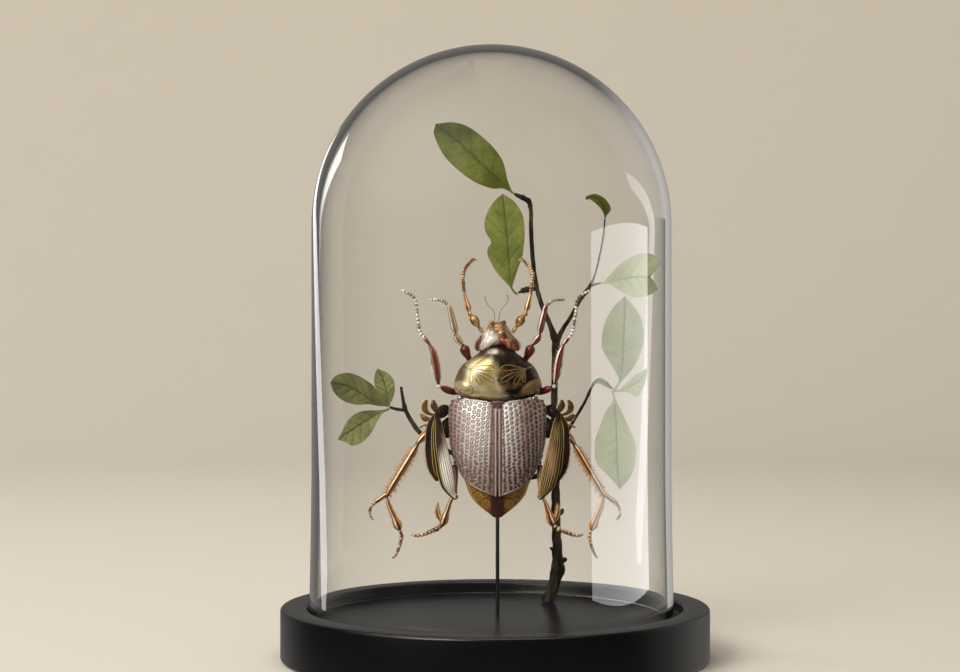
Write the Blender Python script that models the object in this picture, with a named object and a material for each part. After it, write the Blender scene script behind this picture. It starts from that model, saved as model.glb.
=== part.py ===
"""Insect in a glass dome: a gold and copper beetle on a steel pin by a leafy twig, on a black turned base.

Lengths are in millimetres and become metres when a mesh is made. The origin is the centre of the base's
underside, +Z is up, and the beetle's back faces -Y.
"""

import math

import bmesh
import bpy
from mathutils import Vector

MM = 0.001
CLEARANCE = 0.3  # between pieces that touch or fit each other
CUTTER_REACH = 3.0  # how far a cutter runs past the face that it opens

# Base and glass
BASE_RADIUS = 71.5
BASE_HEIGHT = 17.0
BASE_EDGE = 1.0
RECESS_RADIUS = 62.6
RECESS_DEPTH = 4.0
RECESS_EDGE = 0.5
DOME_X = -1.2
DOME_RADIUS = 60.0
DOME_FOOT_RADIUS = 60.8
DOME_WALL = 2.5
DOME_APEX = 204.0
DOME_LIP = 1.2  # the rounded rim at the foot
FLARE_TOP = 60.0  # the glass widens a little from here down to its foot
TURNED_STEPS = 40
DOME_STEPS = 8

# Pin
PIN_X = 1.0
PIN_Y = 13.8
PIN_RADIUS = 0.65
PIN_TOP = 57.0
PIN_HOLE_DEPTH = 8.0
PIN_SIDES = 12

# Beetle: its midline is over the pin, and its back stands out from the plane of its edge
BEETLE_X = PIN_X
BEETLE_EDGE_Y = 14.0
SIDES = (("left", 1), ("right", -1))
ELYTRON_RIM = 0.5
ELYTRON_SWELL = 0.7
PRONOTUM_RISE = 8.2
PRONOTUM_DEPTH = 6.6
PRONOTUM_FULLNESS = 3.0
HEAD_RISE = 5.4
HEAD_DEPTH = 4.6
SOFT_FULLNESS = 2.4
SCUTELLUM_THICKNESS = 1.0
SCUTELLUM_DISH = 0.2
RIGHT_REACH = {"middle_leg": 0.97, "outer_leg": 0.96}  # how far the right leg spreads against the left one

# Leaf blades
LEAF_THICKNESS = 0.45
LEAF_CUP = 0.08  # how far a margin stands forward of the midrib, as a share of the blade's half width

FLOOR = BASE_HEIGHT - RECESS_DEPTH


def clear_scene():
    for item in list(bpy.data.objects):
        bpy.data.objects.remove(item, do_unlink=True)


def make_material(name, colour, roughness, metallic=0.0, transmission=0.0):
    material = bpy.data.materials.new(name)
    material.use_nodes = True
    shader = material.node_tree.nodes["Principled BSDF"]
    shader.inputs["Base Color"].default_value = (*colour, 1.0)
    shader.inputs["Roughness"].default_value = roughness
    shader.inputs["Metallic"].default_value = metallic
    shader.inputs["Transmission Weight"].default_value = transmission
    material.diffuse_color = (*colour, 1.0)
    return material


def add_object(name, shape, material):
    """The object of a bmesh in millimetres, closed, facing out and shaded smooth."""
    bmesh.ops.remove_doubles(shape, verts=shape.verts, dist=1e-4)
    bmesh.ops.dissolve_degenerate(shape, edges=shape.edges, dist=1e-4)
    bmesh.ops.recalc_face_normals(shape, faces=shape.faces)
    bmesh.ops.scale(shape, vec=(MM, MM, MM), verts=shape.verts)
    mesh = bpy.data.meshes.new(name)
    shape.to_mesh(mesh)
    shape.free()
    mesh.shade_smooth()
    mesh.set_sharp_from_angle(angle=math.radians(40))
    mesh.materials.append(material)
    item = bpy.data.objects.new(name, mesh)
    bpy.context.scene.collection.objects.link(item)
    return item


def add_boolean(item, other, operation):
    """Cut or join with a helper object, which stays out of the finished part."""
    other.hide_render = True
    other.display_type = "WIRE"
    modifier = item.modifiers.new(f"{operation} {other.name}", "BOOLEAN")
    modifier.operation = operation
    modifier.object = other


def add_joined(name, shapes, material):
    """One body of several overlapping shapes."""
    item = add_object(name, shapes[0], material)
    for number, shape in enumerate(shapes[1:], 1):
        add_boolean(item, add_object(f"{name}_helper_{number}", shape, material), "UNION")
    return item


def value_at(stations, z):
    """The value at this height, read along straight lines between (height, value) stations."""
    for (low, first), (high, second) in zip(stations, stations[1:]):
        if z <= high:
            return first + (second - first) * max(z - low, 0.0) / (high - low)
    return stations[-1][1]


def join_rings(shape, rings, ends=True):
    """Faces between rings of equal size, with the two end rings closed by fans."""
    rings = [[shape.verts.new(point) for point in ring] for ring in rings]
    for first, second in zip(rings, rings[1:]):
        for i, corner in enumerate(first):
            shape.faces.new((first[i - 1], corner, second[i], second[i - 1]))
    for ring in (rings[0], rings[-1]) if ends else ():
        centre = shape.verts.new(sum((vertex.co for vertex in ring), Vector()) / len(ring))
        for i, corner in enumerate(ring):
            shape.faces.new((ring[i - 1], corner, centre))


def limb(stations, sides=6, flat=1.0, level_foot=False):
    """A round closed form along stations of x, y, z and radius. Its depth is its width times flat."""
    route = [Vector(station) for station in stations]
    rings = []
    for i, station in enumerate(route):
        along = (route[min(i + 1, len(route) - 1)].xyz - route[max(i - 1, 0)].xyz).normalized()
        across = along.cross(Vector((0, 1, 0))).normalized()
        deep = across.cross(along) * flat
        turns = [2 * math.pi * side / sides for side in range(sides)]
        rings.append([station.xyz + station.w * (across * math.cos(a) + deep * math.sin(a)) for a in turns])
    if level_foot:
        rings[0] = [Vector((point.x, point.y, route[0].z)) for point in rings[0]]
    shape = bmesh.new()
    join_rings(shape, rings)
    return shape


def plate(outline, centre, front, back, shares=(1.0, 0.85, 0.6, 0.3)):
    """A closed form with this outline in x and z. front and back give y from x, z and the share out to it."""
    shape = bmesh.new()
    middle = Vector(centre)
    sides = []
    for depth in (front, back):
        rings = []
        for share in shares:
            points = [middle + (Vector(point) - middle) * share for point in outline]
            rings.append([Vector((x, depth(x, z, share), z)) for x, z in points])
        join_rings(shape, rings, ends=False)
        inner = [shape.verts.new(point) for point in rings[-1]]
        peak = shape.verts.new((middle.x, depth(*middle, 0.0), middle.y))
        for i, corner in enumerate(inner):
            shape.faces.new((inner[i - 1], corner, peak))
        sides.append(rings[0])
    join_rings(shape, sides, ends=False)
    return shape


def mirrored(points):
    """A left half outline from top to bottom, carried on round the right half to the top again."""
    return [*points, *[(-x, z) for x, z in reversed(points) if x]]


def turned(profile, x=0.0):
    """A profile of radius and height points from axis to axis, turned about the vertical line at x."""
    shape = bmesh.new()
    corners = [shape.verts.new((x + radius, 0, height)) for radius, height in profile]
    edges = [shape.edges.new(pair) for pair in zip(corners, corners[1:])]
    bmesh.ops.spin(shape, geom=[*corners, *edges], cent=(x, 0, 0), axis=(0, 0, 1), angle=2 * math.pi,
                   steps=TURNED_STEPS, use_merge=True)
    return shape


def rod(radius, low, high):
    """An upright rod on the pin's line."""
    shape = bmesh.new()
    bmesh.ops.create_cone(shape, cap_ends=True, segments=PIN_SIDES, radius1=radius, radius2=radius,
                          depth=high - low)
    bmesh.ops.translate(shape, vec=(PIN_X, PIN_Y, (low + high) / 2), verts=shape.verts)
    return shape


def arc(radius, centre_height, start, end, steps):
    """Radius and height points on an arc about the axis, from start to end degrees above the level."""
    turns = [math.radians(start + (end - start) * step / steps) for step in range(steps + 1)]
    return [(radius * math.cos(turn), centre_height + radius * math.sin(turn)) for turn in turns]


def build_base(material):
    edge = BASE_EDGE
    profile = [(0, 0), (BASE_RADIUS - edge, 0), (BASE_RADIUS, edge), (BASE_RADIUS, BASE_HEIGHT - edge),
               (BASE_RADIUS - edge, BASE_HEIGHT), (RECESS_RADIUS + RECESS_EDGE, BASE_HEIGHT),
               (RECESS_RADIUS, BASE_HEIGHT - RECESS_EDGE), (RECESS_RADIUS, FLOOR), (0, FLOOR)]
    base = add_object("wooden_base", turned(profile), material)
    hole = rod(PIN_RADIUS + CLEARANCE, FLOOR - PIN_HOLE_DEPTH, FLOOR + CUTTER_REACH)
    add_boolean(base, add_object("pin_hole", hole, material), "DIFFERENCE")


def build_dome(material):
    shoulder = DOME_APEX - DOME_RADIUS
    foot = FLOOR + CLEARANCE
    inner = DOME_RADIUS - DOME_WALL
    flare = DOME_FOOT_RADIUS - DOME_RADIUS
    outside = [*arc(DOME_RADIUS, shoulder, 90, 0, DOME_STEPS), (DOME_RADIUS, FLARE_TOP),
               (DOME_RADIUS + flare / 3, FLARE_TOP / 2), (DOME_FOOT_RADIUS, foot + DOME_LIP),
               (DOME_FOOT_RADIUS - DOME_LIP / 3, foot + DOME_LIP / 4), (DOME_FOOT_RADIUS - DOME_LIP, foot)]
    inside = [(inner + flare, foot + DOME_LIP / 4), (inner + flare / 3, FLARE_TOP / 2), (inner, FLARE_TOP),
              *arc(inner, shoulder, 0, 90, DOME_STEPS)]
    profile = [(0.0 if radius < 1e-6 else radius, height) for radius, height in outside + inside]
    add_object("glass_dome", turned(profile, DOME_X), material)


def build_pin(material):
    foot = FLOOR - PIN_HOLE_DEPTH + CLEARANCE
    add_object("pin", rod(PIN_RADIUS, foot, PIN_TOP), material)


# Half widths and heights of the beetle's back, from the tip of the abdomen up to the pronotum
BACK_HALF_WIDTH = [(45.2, 2.0), (46.4, 3.6), (49, 6.9), (52, 9.6), (57, 11.7), (60, 12.9), (64.3, 14.9),
                   (69.5, 16.3), (75, 16.9), (81, 16.9), (84.6, 16.6)]
BACK_HEIGHT = [(45.2, 2.4), (48.9, 4.0), (52.5, 5.2), (58, 6.6), (64, 7.6), (72, 8.2), (80, 7.6),
               (86, 6.0)]
BELLY_DEPTH = [(45.2, 1.4), (46.4, 2.6), (49, 4.2), (52, 5.2), (57, 6.2), (70, 7.2), (80, 7.0), (86, 6.0)]
CORE_MIDDLE = [(45.2, PIN_Y), (56, BEETLE_EDGE_Y + 0.8)]
CORE_SIDE_INSET = 0.6
CORE_BACK_INSET = 1.6
CORE_SIDES = 16
CORE_STATIONS = (45.3, 46.4, 48.9, 52, 56.9, 60.5, 65, 70, 75.5, 81, 85.1)
ELYTRON_OUTLINE = [(-0.25, 81.6), (-0.8, 82.3), (-2.2, 84.2), (-5.5, 85.0), (-9.5, 85.4), (-13.2, 85.4),
                   (-15.8, 84.6), (-16.6, 83.2), (-16.8, 79), (-16.7, 74.7), (-16.2, 69.5), (-14.7, 64.3),
                   (-11.6, 58.4), (-9.0, 56.3), (-5.5, 54.4), (-2.1, 53.1), (-0.9, 52.7), (-0.25, 52.6),
                   (-0.25, 62), (-0.25, 72)]
PRONOTUM_HALF = [(0, 103.0), (-2.0, 102.8), (-4.4, 101.6), (-6.4, 100.8), (-9.3, 99.2), (-12.3, 96.8),
                 (-14.4, 92.9), (-15.2, 90.2), (-14.6, 88.5), (-12.3, 87.4), (-9.2, 86.4), (-5.0, 85.8),
                 (0, 85.5)]
HEAD_HALF = [(0, 111.9), (-2.1, 111.7), (-3.9, 109.4), (-5.0, 107.4), (-5.6, 106.2), (-7.4, 103.9),
             (-7.1, 102.6), (-6.3, 101.8), (-4.2, 102.2), (-1.9, 103.5), (0, 103.7)]
SCUTELLUM = [(-2.1, 84.9), (0, 84.9), (2.1, 84.9), (0, 82.1)]
SHOULDER_BEAD = (-12.6, 10.7, 85.9)
SHOULDER_BEAD_RADIUS = 0.9


def back_rise(x, z):
    """The share of the back's full height that is left at this distance from the midline."""
    return math.sqrt(max(1 - (x / value_at(BACK_HALF_WIDTH, z)) ** 2, 0))


def pillow(height, fullness):
    """A depth that swells from the plane of the beetle's edge to its full height at the centre."""
    return lambda x, z, share: BEETLE_EDGE_Y + height * math.sqrt(max(1 - share**fullness, 0))


def centred(shape):
    bmesh.ops.translate(shape, vec=(BEETLE_X, 0, 0), verts=shape.verts)
    return shape


def core_ring(z):
    """One cross-section of the abdomen and hind thorax, under the wing covers."""
    half = value_at(BACK_HALF_WIDTH, z) - CORE_SIDE_INSET
    middle = value_at(CORE_MIDDLE, z)
    back = value_at(BACK_HEIGHT, z) - CORE_BACK_INSET
    belly = value_at(BELLY_DEPTH, z)
    turns = [2 * math.pi * i / CORE_SIDES for i in range(CORE_SIDES)]
    return [Vector((half * math.cos(a), middle - (back if math.sin(a) > 0 else belly) * math.sin(a), z))
            for a in turns]


def build_body(dark, gold, silver, copper):
    core = bmesh.new()
    join_rings(core, [core_ring(z) for z in CORE_STATIONS])
    abdomen = add_object("abdomen", centred(core), dark)
    bore = rod(PIN_RADIUS + CLEARANCE, CORE_STATIONS[0] - CUTTER_REACH, PIN_TOP + CLEARANCE)
    add_boolean(abdomen, add_object("pin_bore", bore, dark), "DIFFERENCE")

    def elytron_front(x, z, share):
        return BEETLE_EDGE_Y - value_at(BACK_HEIGHT, z) * back_rise(x, z)

    def elytron_back(x, z, share):
        return elytron_front(x, z, share) + ELYTRON_RIM + ELYTRON_SWELL * back_rise(x, z)

    for side, sign in SIDES:
        outline = [(sign * x, z) for x, z in ELYTRON_OUTLINE]
        wing = centred(plate(outline, (-8.0 * sign, 70), elytron_front, elytron_back))
        bead = bmesh.new()
        bmesh.ops.create_uvsphere(bead, u_segments=8, v_segments=6, radius=SHOULDER_BEAD_RADIUS)
        x, y, z = SHOULDER_BEAD
        bmesh.ops.translate(bead, vec=(sign * x, y, z), verts=bead.verts)
        add_joined(f"{side}_elytron", [wing, centred(bead)], silver)

    ridge = BEETLE_EDGE_Y - value_at(BACK_HEIGHT, 84)
    scutellum = plate(SCUTELLUM, (0, 84), lambda x, z, share: ridge + SCUTELLUM_DISH * share,
                      lambda x, z, share: ridge + SCUTELLUM_THICKNESS, shares=(1.0, 0.5))
    add_object("scutellum", centred(scutellum), dark)
    pronotum = plate(mirrored(PRONOTUM_HALF), (0, 93), pillow(-PRONOTUM_RISE, PRONOTUM_FULLNESS),
                     pillow(PRONOTUM_DEPTH, SOFT_FULLNESS))
    add_object("pronotum", centred(pronotum), gold)
    head = plate(mirrored(HEAD_HALF), (0, 106), pillow(-HEAD_RISE, SOFT_FULLNESS),
                 pillow(HEAD_DEPTH, SOFT_FULLNESS))
    add_object("head", centred(head), copper)


# Limbs of the left side: x from the midline, y, z and radius
ANTENNA = [(-5.1, 13.4, 108.5, 0.5), (-6.5, 12.3, 110.3, 0.55), (-7.0, 12.1, 111.2, 0.9),
           (-7.8, 12, 112.3, 1.6), (-8.7, 11.9, 113.4, 1.1), (-9.1, 11.8, 113.9, 0.6),
           (-9.6, 11.8, 114.5, 0.85), (-10.0, 11.9, 115.3, 0.6), (-10.3, 12, 116.4, 0.95),
           (-11.2, 12.5, 121.1, 0.5), (-11.6, 12.7, 124.7, 0.45), (-11.6, 13, 128.6, 0.55),
           (-10.8, 13.1, 130.4, 0.45), (-9.2, 13.5, 132.4, 0.45), (-8.2, 13.6, 133.2, 0.35),
           (-7.4, 13.6, 132.9, 0.3)]
FRONT_LEG = [(-9.2, 18, 98.6, 1.0), (-10.6, 16, 100.6, 1.4), (-11.3, 15, 102.2, 1.35),
             (-11.8, 14.3, 103.8, 0.8), (-12.1, 14, 104.6, 0.95), (-13.4, 13.4, 106.2, 1.0),
             (-14.3, 13, 107.8, 0.75), (-14.5, 12.9, 108.4, 0.95), (-15.3, 12.8, 112.0, 1.0),
             (-16.3, 13, 116.6, 0.75), (-16.7, 13.3, 117.2, 0.6), (-18.0, 13.8, 118.2, 0.5),
             (-19.8, 14.2, 119.3, 0.42), (-21.8, 14.6, 119.4, 0.35), (-23.3, 15, 119.6, 0.25)]
MIDDLE_LEG = [(-13.8, 17.4, 87.6, 0.9), (-16.3, 14.9, 88.3, 1.05), (-18.6, 13.4, 89.2, 0.95),
              (-19.8, 12.7, 89.8, 0.75), (-20.2, 12.4, 91.2, 0.95), (-21.2, 12, 98.0, 1.25),
              (-22.4, 12.3, 102.8, 1.0), (-23.2, 12.5, 104.6, 0.55), (-24.2, 12.9, 105.7, 0.6),
              (-25.2, 13.2, 106.7, 0.45), (-26.4, 13.5, 108.6, 0.5), (-27.1, 13.8, 111.4, 0.45),
              (-27.5, 14, 115.7, 0.45), (-27.9, 14, 118.8, 0.42), (-28.8, 14.2, 120.5, 0.4),
              (-30.8, 14.6, 121.5, 0.35), (-33.1, 15, 122.8, 0.25)]
HIND_COXA = [(-16.9, 16.3, 81.0, 0.9), (-17.4, 15.4, 81.2, 1.1), (-19.2, 13.6, 80.6, 1.6),
             (-20.6, 12.6, 79.4, 1.3), (-21.0, 12.4, 78.4, 0.9)]
HIND_BLADE = [(-20.6, 12.2, 80.0, 0.8), (-20.4, 11.4, 77.5, 1.3), (-19.5, 10.4, 72.5, 2.0),
              (-18.5, 9.9, 67.5, 2.3), (-17.9, 9.8, 62.5, 2.45), (-17.3, 10.0, 57.5, 2.4),
              (-16.3, 10.4, 54.6, 1.9), (-14.4, 11, 52.2, 0.6)]
HIND_PLATE = [(-21.0, 12.8, 80.0, 0.8), (-22.2, 12.8, 77.0, 1.7), (-22.4, 12.6, 71.0, 2.1),
              (-22.0, 12.7, 64.0, 2.0), (-21.3, 13, 59.4, 1.3), (-20.7, 13, 57.8, 0.6)]
HIND_STRUT = [(-14.4, 15.7, 61.8, 0.8), (-14.0, 14.2, 59.2, 0.5), (-14.1, 12.2, 55.9, 0.45),
              (-14.4, 11.4, 53.4, 0.5)]
HIND_TIBIA = [(-14.4, 11.2, 53.4, 0.55), (-15.9, 11.5, 51.9, 0.5), (-16.9, 12, 48.4, 0.8),
              (-18.4, 12.5, 44.1, 1.1), (-19.0, 12.6, 42.5, 0.6), (-19.8, 12.7, 42.0, 0.5),
              (-21.5, 13, 40.9, 0.5), (-24.6, 13.6, 39.7, 0.42), (-26.8, 14, 39.0, 0.4),
              (-28.9, 14.3, 39.0, 0.3), (-29.5, 14.5, 38.3, 0.2)]
HIND_SPUR = [(-18.3, 12.5, 44.0, 0.7), (-19.8, 12.2, 46.5, 0.7), (-20.4, 12, 48.6, 0.5),
             (-20.2, 12, 50.1, 0.25)]
PETALS = [[(-19.8, 13.0, 80.4, 0.5), (-21.2, 12.9, 82.0, 1.2), (-21.9, 13, 83.4, 1.45),
           (-22.0, 13.1, 84.9, 0.7)],
          [(-20.0, 13.2, 80.0, 0.4), (-23.2, 13.6, 80.4, 0.6), (-24.9, 13.8, 81.8, 1.2),
           (-25.0, 13.9, 83.6, 1.2), (-24.4, 14, 84.9, 0.6)],
          [(-20.4, 13.4, 79.4, 0.4), (-23.4, 14, 78.6, 0.8), (-25.2, 14.2, 79.0, 1.2),
           (-26.2, 14.4, 80.0, 0.6)]]
OUTER_LEG = [(-16.8, 17.4, 77.3, 0.9), (-21.0, 17.2, 75.4, 1.2), (-24.6, 16.6, 73.0, 1.3),
             (-27.2, 15.8, 70.6, 0.9), (-27.9, 15.3, 69.4, 0.8), (-30.6, 14.9, 64.9, 1.15),
             (-34.5, 14.6, 58.6, 1.1), (-38.2, 14.5, 52.4, 0.9)]
OUTER_FORK = [(-37.3, 14.4, 54.2, 0.5), (-40.8, 14.4, 51.1, 0.6), (-43.3, 14.6, 49.0, 0.45),
              (-44.2, 15, 46.6, 0.4), (-43.8, 15.2, 45.1, 0.35), (-42.9, 15.3, 44.1, 0.22)]
INNER_FORK = [(-37.8, 14.65, 53.5, 0.55), (-37.0, 14.2, 47.7, 0.6), (-34.5, 14, 41.7, 0.95),
              (-33.9, 14, 40.6, 0.5), (-33.2, 14.2, 38.8, 0.45), (-33.6, 14.6, 36.6, 0.4),
              (-34.2, 15, 33.9, 0.4), (-35.2, 15.4, 31.7, 0.35), (-36.1, 15.6, 31.0, 0.22)]
PETAL_FLATNESS = 0.5
BLADE_FLATNESS = 0.55


def build_limbs(copper, red, gold):
    for side, sign in SIDES:
        def placed(stations, pair=""):
            reach = RIGHT_REACH.get(pair, 1.0) if side == "right" else 1.0
            return [(BEETLE_X + sign * reach * x, y, z, radius) for x, y, z, radius in stations]

        add_object(f"{side}_antenna", limb(placed(ANTENNA)), copper)
        add_object(f"{side}_front_leg", limb(placed(FRONT_LEG)), red)
        add_object(f"{side}_middle_leg", limb(placed(MIDDLE_LEG, "middle_leg")), red)
        blades = [limb(placed(form), sides=8, flat=BLADE_FLATNESS) for form in (HIND_BLADE, HIND_PLATE)]
        thin = [limb(placed(form)) for form in (HIND_STRUT, HIND_TIBIA, HIND_SPUR)]
        petals = [limb(placed(form), flat=PETAL_FLATNESS) for form in PETALS]
        add_joined(f"{side}_hind_leg", [limb(placed(HIND_COXA)), *blades, *thin, *petals], gold)
        forms = [limb(placed(form, "outer_leg")) for form in (OUTER_LEG, OUTER_FORK, INNER_FORK)]
        add_joined(f"{side}_outer_leg", forms, copper)


# Twig: x, y, z and radius
TRUNK = [(19.0, 36, FLOOR + CLEARANCE, 2.3), (20.8, 35.5, 17.9, 2.0), (22.6, 34.8, 24.7, 2.15),
         (22.4, 34, 31.1, 1.65), (22.1, 33.2, 38.4, 1.6), (21.8, 32.4, 46.3, 1.5),
         (21.8, 31.6, 55.4, 1.35), (21.6, 31, 67.0, 1.3), (21.2, 30.4, 77.6, 1.2),
         (21.2, 29.8, 87.0, 1.15), (21.4, 29, 96.9, 1.15), (21.7, 28.1, 104.8, 1.2)]
MAIN_ARM = [(21.5, 27.8, 105.6, 1.1), (19.2, 27.4, 111.9, 0.85), (17.2, 27, 116.4, 0.8),
            (15.5, 26.4, 121.3, 0.78), (14.1, 25.6, 128.2, 0.75), (13.2, 24.8, 136.9, 0.75),
            (12.8, 24.2, 144.5, 0.72), (12.6, 23.6, 151.4, 0.72), (12.1, 23.4, 153.6, 0.85),
            (10.3, 22.8, 154.8, 0.8), (8.4, 22.2, 155.6, 0.7), (6.8, 21.8, 156.3, 0.35)]
BUD_SHOOT = [(15.0, 26.1, 123.6, 0.5), (12.1, 25, 123.2, 0.9), (10.2, 24.4, 122.8, 0.8),
             (8.4, 23.8, 122.0, 0.35)]
RIGHT_ARM = [(23.0, 27.3, 107.5, 0.7), (24.4, 26.6, 109.8, 0.7), (26.5, 25.2, 113.2, 0.68),
             (29.9, 22.6, 119.3, 0.62), (33.3, 20, 124.5, 0.6), (34.3, 19.4, 126.5, 0.4),
             (35.8, 18.4, 131.7, 0.32), (36.9, 17.6, 136.9, 0.3), (37.7, 17, 141.7, 0.3),
             (38.2, 16.4, 147.2, 0.28)]
RIGHT_SHOOT = [(33.0, 20.2, 124.1, 0.5), (35.0, 18.6, 124.8, 0.4), (36.8, 17, 125.2, 0.3)]
LOWER_LEFT = [(19.7, 31.5, 59.9, 0.9), (14.8, 31.4, 57.8, 0.95), (6.3, 30.6, 58.3, 0.9),
              (-2.1, 29.4, 60.5, 0.85), (-10.5, 28, 64.0, 0.8), (-18.1, 26.4, 68.0, 0.8),
              (-23.7, 25, 70.9, 0.8), (-27.1, 23.6, 74.8, 0.78), (-29.2, 22.6, 77.9, 0.75),
              (-31.0, 21.6, 81.6, 0.75), (-31.6, 21.2, 83.8, 0.62), (-32.1, 20.8, 86.6, 0.55),
              (-32.4, 20.4, 89.4, 0.5)]
LEFT_SHOOT = [(-30.9, 21.7, 81.3, 0.6), (-33.5, 19.8, 81.7, 0.55), (-36.1, 17.9, 82.5, 0.45)]
LOWER_RIGHT = [(23.6, 30.3, 67.8, 0.75), (24.6, 29.4, 70.3, 0.62), (27.2, 27, 76.3, 0.55),
               (30.0, 24.4, 81.2, 0.52), (32.0, 22, 85.1, 0.5), (33.6, 20, 88.9, 0.48),
               (34.9, 18.6, 91.2, 0.45), (36.5, 17.6, 92.2, 0.42), (38.5, 16.4, 91.2, 0.4),
               (40.6, 14.8, 88.9, 0.3)]


def build_twig(bark):
    add_object("twig_trunk", limb(TRUNK, sides=8, level_foot=True), bark)
    add_joined("twig_main_arm", [limb(MAIN_ARM), limb(BUD_SHOOT)], bark)
    add_joined("twig_right_arm", [limb(RIGHT_ARM), limb(RIGHT_SHOOT)], bark)
    add_joined("twig_lower_left", [limb(LOWER_LEFT), limb(LEFT_SHOOT)], bark)
    add_object("twig_lower_right", limb(LOWER_RIGHT), bark)


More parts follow.
